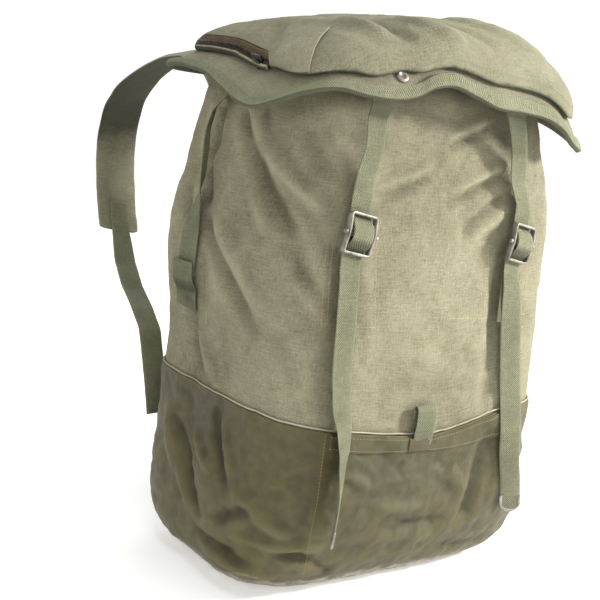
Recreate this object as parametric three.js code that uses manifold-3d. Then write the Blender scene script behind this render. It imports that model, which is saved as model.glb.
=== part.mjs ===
// A large canvas rucksack with a coated lower bag, a zipped lid held by two webbing straps,
// and two shoulder straps. It is modelled standing on the flat of its base and then moved,
// so that its origin is where the shoulders carry it.
// +Z is up, the front with its two buckles faces -Y, the wearer stands at +Y and the wearer's left is -X.

import * as THREE from "three";
import { mergeVertices } from "three/addons/utils/BufferGeometryUtils.js";
import Module from "manifold-3d";

const wasm = await Module();
wasm.setup();

// Cloth and webbing
const CLOTH = 2;
const GAP = 0.4;
const WEBBING_WIDTH = 25;
const WEBBING = 1.8;
const REST = 0.9;
const ROUND_SIDES = 12;

// Half the distance over which the slope of the bag's surface is taken
const SLOPE_STEP = 6;

// The bag
const BAG_WIDTH = 348;
const BAG_DEPTH = 278;
const SEAM_HEIGHT = 177;
const SEAM_LAP = 14;
const COLUMNS = 44;
const PIPING_RADIUS = 1.7;
const PIPING_SQUASH = 0.9;

// A row per section of the bag. Width and depth are shares of BAG_WIDTH and BAG_DEPTH,
// and square is the power of the section's rounded rectangle.
const SECTIONS = [
  { height: 0, width: 0.85, depth: 0.63, square: 4.0 },
  { height: 9, width: 0.92, depth: 0.73, square: 4.2 },
  { height: 24, width: 0.98, depth: 0.82, square: 4.5 },
  { height: 48, width: 1.0, depth: 0.9, square: 4.8 },
  { height: 80, width: 0.99, depth: 0.96, square: 4.8 },
  { height: 115, width: 0.97, depth: 0.99, square: 4.8 },
  { height: 148, width: 0.955, depth: 1.0, square: 4.8 },
  { height: SEAM_HEIGHT - SEAM_LAP, width: 0.95, depth: 1.0, square: 4.8 },
  { height: SEAM_HEIGHT, width: 0.95, depth: 1.0, square: 4.8 },
  { height: 205, width: 0.955, depth: 0.99, square: 4.7 },
  { height: 236, width: 0.965, depth: 0.98, square: 4.6 },
  { height: 270, width: 0.985, depth: 0.96, square: 4.5 },
  { height: 305, width: 1.0, depth: 0.94, square: 4.4 },
  { height: 340, width: 1.0, depth: 0.92, square: 4.2 },
  { height: 372, width: 0.99, depth: 0.9, square: 4.0 },
  { height: 402, width: 0.98, depth: 0.88, square: 3.7 },
  { height: 430, width: 0.965, depth: 0.865, square: 3.4 },
  { height: 454, width: 0.945, depth: 0.85, square: 3.2 },
  { height: 470, width: 0.91, depth: 0.82, square: 3.1 },
  { height: 484, width: 0.83, depth: 0.75, square: 3.0 },
  { height: 494, width: 0.71, depth: 0.63, square: 2.8 },
  { height: 501, width: 0.57, depth: 0.5, square: 2.5 },
];
const MOUTH_HEIGHT = 501;

// Soft folds of the bag, deep below zero and proud above it. Around is in degrees from the middle
// of the front, negative towards the wearer's left. Lean tips a fold over to the right as it rises.
const FOLDS = [
  { around: -64, height: 380, across: 15, along: 60, lean: -24, depth: -5 },
  { around: -42, height: 330, across: 26, along: 90, lean: -8, depth: 4 },
  { around: -84, height: 330, across: 16, along: 85, lean: 6, depth: 3.5 },
  { around: -97, height: 300, across: 13, along: 80, lean: 4, depth: -4.5 },
  { around: -112, height: 330, across: 15, along: 70, lean: -4, depth: 4 },
  { around: -27, height: 386, across: 12, along: 42, lean: 66, depth: -2.5 },
  { around: 14, height: 372, across: 12, along: 50, lean: 62, depth: -3 },
  { around: 5, height: 432, across: 12, along: 40, lean: 60, depth: 2.5 },
  { around: 62, height: 300, across: 16, along: 34, lean: 20, depth: -5 },
  { around: 58, height: 372, across: 22, along: 40, lean: -10, depth: 4 },
  { around: -98, height: 118, across: 15, along: 60, lean: -8, depth: -4 },
  { around: -80, height: 95, across: 18, along: 55, lean: -18, depth: 4 },
  { around: -58, height: 92, across: 24, along: 34, lean: 52, depth: 5 },
  { around: -66, height: 40, across: 12, along: 50, lean: 80, depth: -4 },
  { around: 30, height: 60, across: 16, along: 60, lean: 78, depth: 3 },
];
const FOLD_RADIUS = 168;
const MOUTH_GATHER_HEIGHT = 470;
const MOUTH_PLEATS = 22;
const MOUTH_PLEAT_DEPTH = 4;

// The lid
const LID_WIDTH = 370;
const LID_DEPTH = 274;
const LID_CENTRE = new THREE.Vector2(-10, -14);
const LID_SQUARE = 5;
const FLARE_REACH = 0.8;

// The height of the lid panel's crown across the bag, from the wearer's left to the right.
const LID_CROWN = [
  { x: -190, height: 494 },
  { x: -150, height: 503 },
  { x: -90, height: 513 },
  { x: -20, height: 524 },
  { x: 60, height: 524 },
  { x: 120, height: 512 },
  { x: 175, height: 495 },
];

// A row per ring of the lid, from its middle out. Drop is the share of the way down to the edge.
const LID_RINGS = [
  { reach: 0, drop: 0 },
  { reach: 0.38, drop: 0.02 },
  { reach: 0.62, drop: 0.07 },
  { reach: 0.78, drop: 0.2 },
  { reach: 0.87, drop: 0.38 },
  { reach: 0.93, drop: 0.62 },
  { reach: 1, drop: 1 },
];
const BINDING_RING = 5;

// Waves of the lid's lower edge: its height all round, and how far it flares out.
const LID_EDGE = [
  { around: -180, height: 470, flare: 0 },
  { around: -130, height: 470, flare: 0 },
  { around: -113, height: 477, flare: 4 },
  { around: -104, height: 483, flare: 8 },
  { around: -94, height: 463, flare: 8 },
  { around: -82, height: 452, flare: 6 },
  { around: -66, height: 452, flare: 4 },
  { around: -55, height: 464, flare: 0 },
  { around: -47, height: 468, flare: 0 },
  { around: -38, height: 462, flare: 2 },
  { around: -29, height: 460, flare: 2 },
  { around: -11, height: 477, flare: 0 },
  { around: 16, height: 463, flare: 4 },
  { around: 28, height: 462, flare: 3 },
  { around: 39, height: 450, flare: 4 },
  { around: 50, height: 437, flare: 10 },
  { around: 60, height: 435, flare: 14 },
  { around: 76, height: 446, flare: 8 },
  { around: 100, height: 460, flare: 2 },
  { around: 130, height: 470, flare: 0 },
  { around: 180, height: 470, flare: 0 },
];
const BINDING = 1.5;
const BINDING_GAP = 0.9;

// A row per ring of the pocket on the lid: how far it stands off the lid panel, and the same along the zip.
const POCKET_RINGS = [
  { reach: 0, lift: 19, zipLift: 19 },
  { reach: 0.38, lift: 19, zipLift: 19 },
  { reach: 0.62, lift: 18, zipLift: 18 },
  { reach: 0.77, lift: 16, zipLift: 18 },
  { reach: 0.845, lift: 13, zipLift: 17 },
  { reach: 0.875, lift: 8, zipLift: 15.5 },
];
const POCKET_TURN_REACH = 0.86;
const POCKET_FOOT = CLOTH / 2 + REST;
const POCKET_LOW_LIFT = 6;
const POCKET_HIGH_LIFT = 16;
const POCKET_WRINKLES = [
  { around: -60, reach: 0.6, across: 16, along: 60, lean: 60, depth: 3 },
  { around: -20, reach: 0.72, across: 14, along: 60, lean: 84, depth: -3 },
  { around: 25, reach: 0.7, across: 14, along: 70, lean: 100, depth: 3.5 },
  { around: 55, reach: 0.66, across: 14, along: 60, lean: 120, depth: -3 },
];

// The zip along the pocket's left end
const ZIP_LENGTH = 140;
const ZIP_HEIGHT = 13;
const ZIP_TAPE = 1.2;
const SLIDER_LENGTH = 13;
const SLIDER_WIDTH = 7;
const SLIDER_HEIGHT = 4;

// The patch on the pocket's corner and the snap under its front edge, placed by degrees round the lid
// and by the share of the way out to the edge.
const PATCH_AROUNDS = [-66, -61, -56, -51];
const PATCH_REACHES = [0.72, 0.78, 0.84];
const PATCH_THICK = 1.2;
const SNAP_AROUND = -28;
const SNAP_REACH = 0.899;
const SNAP_RADIUS = 4.5;
const SNAP_HEIGHT = 1.8;

// The lid straps and their buckles
const BUCKLE_WIDTH = 34;
const BUCKLE_HEIGHT = 46;
const BUCKLE_WALL = 2.4;
const BUCKLE_DEPTH = 6;
const BUCKLE_CORNER = 3.5;
const BUCKLE_STAND = 6.4;
const BUCKLE_BEND = 13;
const BAR_RADIUS = 1.3;
const BAR_NUB_RADIUS = 2.2;
const BAR_NUB_LENGTH = 3.5;
const BAR_STAND = BUCKLE_STAND + 3;
const STRAP_LID_GAP = { left: -0.2, right: 0.15 };
const TAB_THICK = 1.5;
const TAB_SEWN = [-78, -56, -34, -20];
const TAB_RISE = -6.5;
const TAB_RISE_DROP = 2.2;
const TAB_LEAN = 0.06;
const HOOK_GAP = 0.7;
const TIP_LENGTH = 21;
const TIP_THICK = 0.8;

// Where the webbing passes through a buckle: up from the bar, and off the bag.
const THREADING = [
  { up: 30, lift: 3.6 },
  { up: 23, lift: 4.0 },
  { up: 15.5, lift: 5.0 },
  { up: 8, lift: 11.6 },
  { up: 3, lift: 14.3 },
  { up: -2, lift: 14.4 },
  { up: -9, lift: 12.6 },
  { up: -18, lift: 10.1 },
  { up: -26, lift: 9.3 },
  { up: -38, lift: 6.8 },
];

const LID_STRAPS = [
  {
    side: "left",
    buckleX: -106,
    buckleHeight: 345,
    lidAround: -32,
    top: [
      { height: 446, x: -95, lift: 27 },
      { height: 425, x: -98, lift: 18 },
      { height: 400, x: -102, lift: 10 },
    ],
    tail: [
      { height: 292, x: -110, lift: 5.5, twist: 0 },
      { height: 268, x: -112, lift: 4.8, twist: 0 },
      { height: 240, x: -112, lift: 3.6, twist: 2 },
      { height: 222, x: -111, lift: 3.8, twist: 4 },
      { height: 205, x: -110, lift: 4, twist: 7 },
      { height: 190, x: -109, lift: 5.5, twist: 11 },
      { height: 177, x: -108, lift: 7, twist: 17 },
      { height: 165, x: -107, lift: 9, twist: 26 },
      { height: 154, x: -106, lift: 11, twist: 36 },
      { height: 142, x: -105.5, lift: 13, twist: 47 },
      { height: 130, x: -105, lift: 15, twist: 57 },
      { height: 117, x: -105, lift: 16.5, twist: 64 },
      { height: 102, x: -105, lift: 17, twist: 67 },
      { height: 88, x: -106, lift: 17, twist: 68 },
    ],
  },
  {
    side: "right",
    buckleX: 86,
    buckleHeight: 341,
    lidAround: 29,
    top: [
      { height: 446, x: 69, lift: 26 },
      { height: 425, x: 74, lift: 17 },
      { height: 400, x: 80, lift: 9 },
    ],
    tail: [
      { height: 290, x: 80, lift: 5.5, twist: 0 },
      { height: 268, x: 83, lift: 4.4, twist: 0 },
      { height: 240, x: 89, lift: 3.2, twist: 0 },
      { height: 205, x: 97, lift: 3, twist: 0 },
      { height: 177, x: 104, lift: 6, twist: 0 },
      { height: 148, x: 111, lift: 6, twist: 0 },
      { height: 115, x: 118, lift: 6, twist: 0 },
      { height: 88, x: 123, lift: 7, twist: 0 },
      { height: 76, x: 125, lift: 8, twist: 0 },
    ],
  },
];

// The loop on the front seam, and the band under the seam
const LOOP_WIDTH = 23;
const LOOP_X = -13;
const HEM_LEFT = -116;
const HEM_RIGHT = 92;
const HEM_TOP = SEAM_HEIGHT - 1;
const HEM_FOOT = SEAM_HEIGHT - 23;
const HEM_THICK = 1.5;
const HEM_FACE = GAP + CLOTH + REST + HEM_THICK;

// The loop's path from its foot, over its top fold and down behind it:
// its height above the seam and its lift off the canvas.
const LOOP_PATH = [
  { above: -20, lift: HEM_FACE + GAP + WEBBING / 2 },
  { above: -8, lift: HEM_FACE + 1 + WEBBING / 2 },
  { above: 3, lift: HEM_FACE + 4.5 },
  { above: 11, lift: HEM_FACE + 5 },
  { above: 17, lift: HEM_FACE + 2.5 },
  { above: 17, lift: 4.2 },
  { above: 12, lift: REST + WEBBING / 2 },
  { above: 7, lift: REST + WEBBING / 2 },
];

// The strap down each side: a row per station, y towards the wearer, off is how far it stands off the bag.
const SIDE_REST = 1.75;
const SIDE_STRAP = [
  { height: 438, y: 10, off: 11, width: 12, turn: 40 },
  { height: 420, y: 13, off: 13, width: 12, turn: 50 },
  { height: 400, y: 15, off: 11, width: 12, turn: 56 },
  { height: 378, y: 19, off: 9, width: 13, turn: 52 },
  { height: 352, y: 27, off: 6, width: 18, turn: 20 },
  { height: 325, y: 37, off: 3.6, width: 25, turn: 0 },
  { height: 298, y: 43, off: SIDE_REST, width: 26, turn: 0 },
  { height: 278, y: 45, off: SIDE_REST, width: 26, turn: 0 },
];
const SIDE_TAB = [
  { height: 469, y: -2, off: 1.3, width: 30, turn: 0 },
  { height: 464, y: 0, off: 6, width: 30, turn: 0 },
  { height: 453, y: 4, off: 9, width: 30, turn: 8 },
  { height: 443, y: 8, off: 10, width: 24, turn: 24 },
];

// The right side's strap lies closer to the bag than the left one.
const SIDE_STAND = { [-1]: 1, 1: 0.1 };
const SIDE_PATCH_WIDTH = 30;
const SIDE_PATCH_TOP = 293;
const SIDE_PATCH_FOOT = 246;
const SIDE_PATCH_SLANT = 10;
const SIDE_PATCH_Y = 45;
const PATCH_REST = { [-1]: 2 * REST, 1: REST };

// The shoulder straps: a row per station, x as the wearer's right strap has it.
const SHOULDER_WIDTH = 56;
const SHOULDER_THICK = 4;
const SHOULDER_STRAP = [
  { x: 84, y: 121.5, height: 424 },
  { x: 88, y: 124, height: 446 },
  { x: 93, y: 134, height: 468 },
  { x: 99, y: 149, height: 485 },
  { x: 106, y: 174, height: 492 },
  { x: 112, y: 206, height: 486 },
  { x: 117, y: 246, height: 471 },
  { x: 120, y: 286, height: 452 },
  { x: 120, y: 320, height: 424 },
  { x: 117, y: 339, height: 386 },
  { x: 114, y: 343, height: 346 },
  { x: 113, y: 335, height: 308 },
  { x: 115, y: 318, height: 276 },
];
const SHOULDER_TILT = 14;
const SHOULDER_TILT_FROM = 130;
const SHOULDER_TILT_TO = 170;
const LOWER_WEBBING = [
  { x: 120, y: 286, height: 246 },
  { x: 129, y: 246, height: 226 },
  { x: 139, y: 200, height: 213 },
  { x: 146, y: 162, height: 196 },
  { x: 149, y: 144, height: 168 },
  { x: 148, y: 135, height: 140 },
  { x: 146, y: 129.6, height: 112 },
];

// Where the shoulders carry the bag: the middle of the back panel, level with the tops of the straps.
const CARRY_HEIGHT = 470;

const CANVAS = { color: 0x8d8966, roughness: 0.95, metalness: 0 };
const LID_CANVAS = { color: 0x96926b, roughness: 0.95, metalness: 0 };
const COATED = { color: 0x625f45, roughness: 0.6, metalness: 0 };
const WEBBING_LOOK = { color: 0x8f9a6c, roughness: 0.9, metalness: 0 };
const TAB_LOOK = { color: 0x6f7350, roughness: 0.9, metalness: 0 };
const PIPING_LOOK = { color: 0xa39f86, roughness: 0.9, metalness: 0 };
const ZIP_LOOK = { color: 0x6a5638, roughness: 0.9, metalness: 0 };
const STEEL = { color: 0x9a9890, roughness: 0.4, metalness: 0.9 };
const DARK_METAL = { color: 0x3a3834, roughness: 0.5, metalness: 0.8 };

const part = new THREE.Group();

function addPiece(name, geometry, look) {
  const mesh = new THREE.Mesh(geometry, new THREE.MeshStandardMaterial(look));
  mesh.name = name;
  part.add(mesh);
}

// A closed body from points and triangles. Triangles with two equal corners are left out,
// and all are turned round if they face inwards.
function body(points, faces) {
  const corners = new Map();
  const merged = points.map((point) => {
    const key = point.toArray().map((value) => value.toFixed(3)).join(" ");
    if (!corners.has(key)) corners.set(key, { index: corners.size, point });
    return corners.get(key).index;
  });
  const kept = faces
    .map((face) => face.map((index) => merged[index]))
    .filter(([a, b, c]) => a !== b && b !== c && c !== a);
  const places = [...corners.values()].map((corner) => corner.point);
  const volume = kept.reduce(
    (sum, [a, b, c]) => sum + places[a].dot(places[b].clone().cross(places[c])),
    0,
  );
  const index = kept.flatMap(([a, b, c]) => (volume < 0 ? [a, c, b] : [a, b, c]));
  const geometry = new THREE.BufferGeometry();
  geometry.setAttribute(
    "position",
    new THREE.Float32BufferAttribute(places.flatMap((point) => point.toArray()), 3),
  );
  geometry.setIndex(index);
  geometry.computeVertexNormals();
  return geometry;
}

// A sheet of cloth between two grids of points with the same rows and columns.
function sheet(front, back, wrap = false) {
  const rows = front.length;
  const columns = front[0].length;
  const spans = wrap ? columns : columns - 1;
  const at = (side, row, column) => (side * rows + row) * columns + (column % columns);
  const faces = [];
  const quad = (a, b, c, d) => faces.push([a, b, c], [a, c, d]);
  for (let column = 0; column < spans; column++) {
    const next = column + 1;
    for (let row = 0; row + 1 < rows; row++) {
      quad(at(0, row, column), at(0, row, next), at(0, row + 1, next), at(0, row + 1, column));
      quad(at(1, row, column), at(1, row + 1, column), at(1, row + 1, next), at(1, row, next));
    }
    const last = rows - 1;
    quad(at(0, 0, column), at(1, 0, column), at(1, 0, next), at(0, 0, next));
    quad(at(0, last, column), at(0, last, next), at(1, last, next), at(1, last, column));
  }
  if (!wrap) {
    const end = columns - 1;
    for (let row = 0; row + 1 < rows; row++) {
      quad(at(0, row, 0), at(0, row + 1, 0), at(1, row + 1, 0), at(1, row, 0));
      quad(at(0, row, end), at(1, row, end), at(1, row + 1, end), at(0, row + 1, end));
    }
  }
  return body([...front.flat(), ...back.flat()], faces);
}

// A body swept through rings with the same number of points, closed on itself or with flat ends.
// The sides named in crossed are cut into triangles along their other diagonal.
function sweep(rings, closed = false, crossed = []) {
  const sides = rings[0].length;
  const at = (ring, side) => (ring % rings.length) * sides + (side % sides);
  const faces = [];
  const spans = closed ? rings.length : rings.length - 1;
  for (let ring = 0; ring < spans; ring++)
    for (let side = 0; side < sides; side++) {
      const corners = [at(ring, side), at(ring, side + 1), at(ring + 1, side + 1), at(ring + 1, side)];
      const [a, b, c, d] = crossed.includes(side) ? [...corners.slice(1), corners[0]] : corners;
      faces.push([a, b, c], [a, c, d]);
    }
  if (!closed)
    for (let side = 1; side + 1 < sides; side++) {
      faces.push([at(0, 0), at(0, side + 1), at(0, side)]);
      faces.push([at(rings.length - 1, 0), at(rings.length - 1, side), at(rings.length - 1, side + 1)]);
    }
  return body(rings.flat(), faces);
}

// Webbing through stations, each with its middle, the direction across it and its outer side.
function webbing(stations, thickness) {
  const rows = (face) =>
    stations.map(({ middle, across, out, width }) =>
      [-1, 1].map((side) =>
        middle
          .clone()
          .addScaledVector(across, (side * width) / 2)
          .addScaledVector(out, (face * thickness) / 2),
      ),
    );
  return sheet(rows(1), rows(-1));
}

// The value of one column of a table at a place between its rows.
function between(rows, key, column, at) {
  const last = rows.length - 1;
  if (at <= rows[0][key]) return rows[0][column];
  if (at >= rows[last][key]) return rows[last][column];
  const next = rows.findIndex((row) => row[key] > at);
  const share = (at - rows[next - 1][key]) / (rows[next][key] - rows[next - 1][key]);
  return THREE.MathUtils.lerp(rows[next - 1][column], rows[next][column], share);
}

function degreesApart(a, b) {
  return THREE.MathUtils.euclideanModulo(a - b + 180, 360) - 180;
}

// How far soft folds push the cloth out at a place, given the distances sideways and upwards
// from each fold's middle.
function foldRelief(folds, sideways, upwards) {
  return folds.reduce((sum, fold) => {
    const lean = THREE.MathUtils.degToRad(fold.lean);
    const aside = sideways(fold);
    const above = upwards(fold);
    const across = aside * Math.cos(lean) - above * Math.sin(lean);
    const along = aside * Math.sin(lean) + above * Math.cos(lean);
    return sum + fold.depth * Math.exp(-((across / fold.across) ** 2) - (along / fold.along) ** 2);
  }, 0);
}

// A point of the bag's section, around in degrees from the middle of the front, moved out by the lift.
function sectionPoint(section, around, lift) {
  const angle = THREE.MathUtils.degToRad(around - 90);
  const halfWidth = (section.width * BAG_WIDTH) / 2 + lift;
  const halfDepth = (section.depth * BAG_DEPTH) / 2 + lift;
  const { height, square } = section;
  const wide = (Math.abs(Math.cos(angle)) / halfWidth) ** square;
  const flat = wide + (Math.abs(Math.sin(angle)) / halfDepth) ** square;
  const relief = foldRelief(
    FOLDS,
    (fold) => THREE.MathUtils.degToRad(degreesApart(around, fold.around)) * FOLD_RADIUS,
    (fold) => height - fold.height,
  );
  const gather = THREE.MathUtils.smoothstep(height, MOUTH_GATHER_HEIGHT, MOUTH_HEIGHT);
  const pleat = MOUTH_PLEAT_DEPTH * gather * Math.cos(THREE.MathUtils.degToRad(around * MOUTH_PLEATS));
  const radius = flat ** (-1 / square) + relief + pleat;
  return new THREE.Vector3(radius * Math.cos(angle), radius * Math.sin(angle), height);
}

const arounds = Array.from({ length: COLUMNS }, (unused, column) => (column * 360) / COLUMNS - 180);

function bagRows(sections, lift) {
  return sections.map((section) => arounds.map((around) => sectionPoint(section, around, lift)));
}

// The bag's outline at a height, between the two sections next to it.
function outlineAt(height, lift) {
  const next = Math.max(1, SECTIONS.findIndex((section) => section.height >= height));
  const [low, high] = bagRows([SECTIONS[next - 1], SECTIONS[next]], lift);
  const share = (height - SECTIONS[next - 1].height) / (SECTIONS[next].height - SECTIONS[next - 1].height);
  return low.map((point, column) => point.clone().lerp(high[column], share));
}

// Where the bag's outline at a height crosses a line. Along names the fixed coordinate,
// and facing is the sign of the other one.
function outlineCross(height, along, value, facing, lift) {
  const other = along === "x" ? "y" : "x";
  const outline = outlineAt(height, lift);
  for (let column = 0; column < COLUMNS; column++) {
    const a = outline[column];
    const b = outline[(column + 1) % COLUMNS];
    const inside = (a[along] - value) * (b[along] - value) <= 0 && a[along] !== b[along];
    if (inside && a[other] * facing > 0)
      return THREE.MathUtils.lerp(a[other], b[other], (value - a[along]) / (b[along] - a[along]));
  }
  throw new Error("the line misses the bag");
}

// A frame on the bag's front: a point of the surface, across it, up it and out of it.
function frontFrame(x, height, cover) {
  const surface = (px, pz) => new THREE.Vector3(px, outlineCross(pz, "x", px, -1, cover), pz);
  const origin = surface(x, height);
  const half = WEBBING_WIDTH / 2;
  const across = surface(x + half, height).sub(surface(x - half, height)).normalize();
  const up = surface(x, height + SLOPE_STEP).sub(surface(x, height - SLOPE_STEP)).normalize();
  return { origin, across, up, out: new THREE.Vector3().crossVectors(across, up).normalize() };
}

// The same on a side of the bag, with side -1 for the wearer's left and 1 for the right.
function sideFrame(y, height, side) {
  const surface = (py, pz) => new THREE.Vector3(outlineCross(pz, "y", py, side, 0), py, pz);
  const origin = surface(y, height);
  const half = WEBBING_WIDTH / 2;
  const across = surface(y + half, height).sub(surface(y - half, height)).multiplyScalar(side).normalize();
  const up = surface(y, height + SLOPE_STEP).sub(surface(y, height - SLOPE_STEP)).normalize();
  return { origin, across, up, out: new THREE.Vector3().crossVectors(across, up).normalize() };
}

// How far the cloth under a strap stands out from the canvas, where the coated bag
// and the band under the seam lie over it.
function coverAt(height) {
  const margin = 4;
  const coat = height < SEAM_HEIGHT + margin ? GAP + CLOTH : 0;
  const hem = height < HEM_TOP + margin && height > HEM_FOOT - margin ? GAP + HEM_THICK : 0;
  return coat + hem;
}

const upper = SECTIONS.filter((section) => section.height >= SEAM_HEIGHT - SEAM_LAP);
const lower = SECTIONS.filter((section) => section.height <= SEAM_HEIGHT);

function bagUpper() {
  return sheet(bagRows(upper, 0), bagRows(upper, -CLOTH), true);
}

// The coated bag has a flat bottom, closed at its middle.
function bagLower() {
  const floor = (height, lift) =>
    [0, 0.5].map((share) =>
      sectionRing(lower[0], lift).map(({ x, y }) => new THREE.Vector3(x * share, y * share, height)),
    );
  const outerLift = GAP + CLOTH;
  const outer = [...floor(0, outerLift), ...bagRows(lower, outerLift)];
  const inner = [...floor(CLOTH, GAP), ...bagRows(lower, GAP)];
  inner[2] = inner[2].map((point) => point.setZ(CLOTH));
  return sheet(outer, inner, true);
}

function sectionRing(section, lift) {
  return arounds.map((around) => sectionPoint(section, around, lift));
}

// The light cord sewn along the top edge of the coated bag.
function seamPiping() {
  const section = { ...SECTIONS.find(({ height }) => height === SEAM_HEIGHT) };
  const stand = GAP + PIPING_RADIUS;
  section.height = SEAM_HEIGHT + stand;
  const middle = sectionRing(section, stand);
  const rings = middle.map((point) => {
    const out = new THREE.Vector3(point.x, point.y, 0).normalize();
    return [
      [1, 0],
      [0, 1],
      [-1, 0],
      [0, -1],
    ].map(([outward, upward]) =>
      point
        .clone()
        .addScaledVector(out, outward * PIPING_RADIUS * PIPING_SQUASH)
        .add(new THREE.Vector3(0, 0, upward * PIPING_RADIUS)),
    );
  });
  return sweep(rings, true);
}

function frontHem() {
  const heights = [HEM_FOOT, SEAM_HEIGHT - SEAM_LAP, HEM_TOP];
  const marks = Array.from({ length: 9 }, (unused, mark) => HEM_LEFT + ((HEM_RIGHT - HEM_LEFT) * mark) / 8);
  const rows = (lift) =>
    heights.map((height) =>
      marks.map((x) => new THREE.Vector3(x, outlineCross(height, "x", x, -1, GAP + CLOTH) - lift, height)),
    );
  return sheet(rows(REST + HEM_THICK), rows(REST));
}

// A point of the lid panel's middle surface, reach being the share of the way out to its edge.
function lidPlace(around, reach) {
  const angle = THREE.MathUtils.degToRad(around - 90);
  const rim = between(LID_EDGE, "around", "height", around);
  const flaring = THREE.MathUtils.smoothstep(reach, FLARE_REACH, 1);
  const flare = between(LID_EDGE, "around", "flare", around) * flaring;
  const halfWidth = LID_WIDTH / 2;
  const halfDepth = LID_DEPTH / 2;
  const wide = (Math.abs(Math.cos(angle)) / halfWidth) ** LID_SQUARE;
  const flat = wide + (Math.abs(Math.sin(angle)) / halfDepth) ** LID_SQUARE;
  const radius = flat ** (-1 / LID_SQUARE) * reach + flare;
  const x = LID_CENTRE.x + radius * Math.cos(angle);
  const y = LID_CENTRE.y + radius * Math.sin(angle);
  const crown = between(LID_CROWN, "x", "height", x);
  const drop = between(LID_RINGS, "reach", "drop", reach);
  return new THREE.Vector3(x, y, THREE.MathUtils.lerp(crown, rim, drop));
}

// The lid panel's outward direction at a place.
function lidNormal(around, reach) {
  const step = 0.02;
  if (reach < step) return new THREE.Vector3(0, 0, 1);
  const outer = Math.min(1, reach + step);
  const along = lidPlace(around, outer).sub(lidPlace(around, outer - 2 * step));
  const round = lidPlace(wrapAround(around + 4), reach).sub(lidPlace(wrapAround(around - 4), reach));
  return new THREE.Vector3().crossVectors(along, round).normalize();
}

function wrapAround(around) {
  return degreesApart(around, 0);
}

function lidPoint(around, reach, lift) {
  return lidPlace(around, reach).addScaledVector(lidNormal(around, reach), lift);
}

function lidPanel() {
  const rows = (lift) => LID_RINGS.map(({ reach }) => arounds.map((around) => lidPoint(around, reach, lift)));
  return sheet(rows(CLOTH / 2), rows(-CLOTH / 2), true);
}

// Webbing folded over the edge of the lid.
function lidBinding() {
  const top = LID_RINGS[BINDING_RING].reach;
  const near = CLOTH / 2 + BINDING_GAP;
  const far = near + BINDING;
  const rings = arounds.map((around) => {
    const down = lidPoint(around, 1, 0).sub(lidPoint(around, top, 0)).normalize();
    const edge = (lift, below) => lidPoint(around, 1, lift).addScaledVector(down, below);
    return [
      lidPoint(around, top, far),
      edge(far, BINDING_GAP + BINDING),
      edge(-far, BINDING_GAP + BINDING),
      lidPoint(around, top, -far),
      lidPoint(around, top, -near),
      edge(-near, BINDING_GAP),
      edge(near, BINDING_GAP),
      lidPoint(around, top, near),
    ];
  });
  const faceOnPanel = 6;
  return sweep(rings, true, [faceOnPanel]);
}

// How much of the pocket's edge is left open for the zip at a place around the lid.
function zipShare(around) {
  const y = lidPlace(around, POCKET_TURN_REACH).y;
  const inZip = Math.abs(y) < ZIP_LENGTH / 2 && around < 0;
  return inZip ? 1 : 0;
}

// How far the pocket's middle surface stands off the lid panel at a place.
function pocketLift(around, reach) {
  const zip = zipShare(around);
  const lift = THREE.MathUtils.lerp(
    between(POCKET_RINGS, "reach", "lift", reach),
    between(POCKET_RINGS, "reach", "zipLift", reach),
    zip,
  );
  const relief = foldRelief(
    POCKET_WRINKLES,
    (fold) => THREE.MathUtils.degToRad(degreesApart(around, fold.around)) * fold.reach * (LID_WIDTH / 2),
    (fold) => ((fold.reach - reach) * LID_WIDTH) / 2,
  );
  return lift + relief * THREE.MathUtils.smoothstep(lift, POCKET_LOW_LIFT, POCKET_HIGH_LIFT);
}

// The pocket is a shell open below, whose edge turns back under to the lid panel, except along the zip.
function lidPocket() {
  const edgeReach = CLOTH / 2 / (LID_WIDTH / 2);
  const rows = (face) => {
    const shell = POCKET_RINGS.map(({ reach }) =>
      arounds.map((around) => {
        const grown = reach > FLARE_REACH ? face * edgeReach : 0;
        return lidPoint(around, reach + grown, pocketLift(around, reach) + (face * CLOTH) / 2);
      }),
    );
    const foot = arounds.map((around) => {
      const lift = THREE.MathUtils.lerp(POCKET_FOOT, ZIP_HEIGHT, zipShare(around));
      return lidPoint(around, POCKET_TURN_REACH + face * edgeReach, lift);
    });
    return [...shell, foot];
  };
  return sheet(rows(1), rows(-1), true);
}

const zipArounds = arounds.filter((around) => zipShare(around) > 0);

function zipTape() {
  const rows = (reach) =>
    [CLOTH / 2 + REST, ZIP_HEIGHT - REST].map((lift) =>
      zipArounds.map((around) => lidPoint(around, reach, lift)),
    );
  const share = ZIP_TAPE / (LID_WIDTH / 2);
  return sheet(rows(POCKET_TURN_REACH + share / 2), rows(POCKET_TURN_REACH - share / 2));
}

function zipSlider() {
  const around = zipArounds[zipArounds.length - 1] - 5;
  const normal = lidNormal(around, POCKET_TURN_REACH);
  const ahead = lidPlace(around + 2, POCKET_TURN_REACH);
  const along = ahead.sub(lidPlace(around - 2, POCKET_TURN_REACH)).normalize();
  const outward = new THREE.Vector3().crossVectors(along, normal).normalize();
  const geometry = new THREE.BoxGeometry(SLIDER_HEIGHT, SLIDER_LENGTH, SLIDER_WIDTH);
  const upward = new THREE.Vector3().crossVectors(outward, along);
  const matrix = new THREE.Matrix4().makeBasis(outward, along, upward);
  const place = lidPoint(around, POCKET_TURN_REACH, ZIP_HEIGHT / 2);
  matrix.setPosition(place.addScaledVector(outward, SLIDER_HEIGHT / 2 + ZIP_TAPE + GAP));
  geometry.applyMatrix4(matrix);
  return weld(geometry);
}

function weld(geometry) {
  const bare = geometry.clone();
  bare.deleteAttribute("normal");
  bare.deleteAttribute("uv");
  const merged = mergeVertices(bare, 1e-3);
  merged.computeVertexNormals();
  return merged;
}

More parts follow.
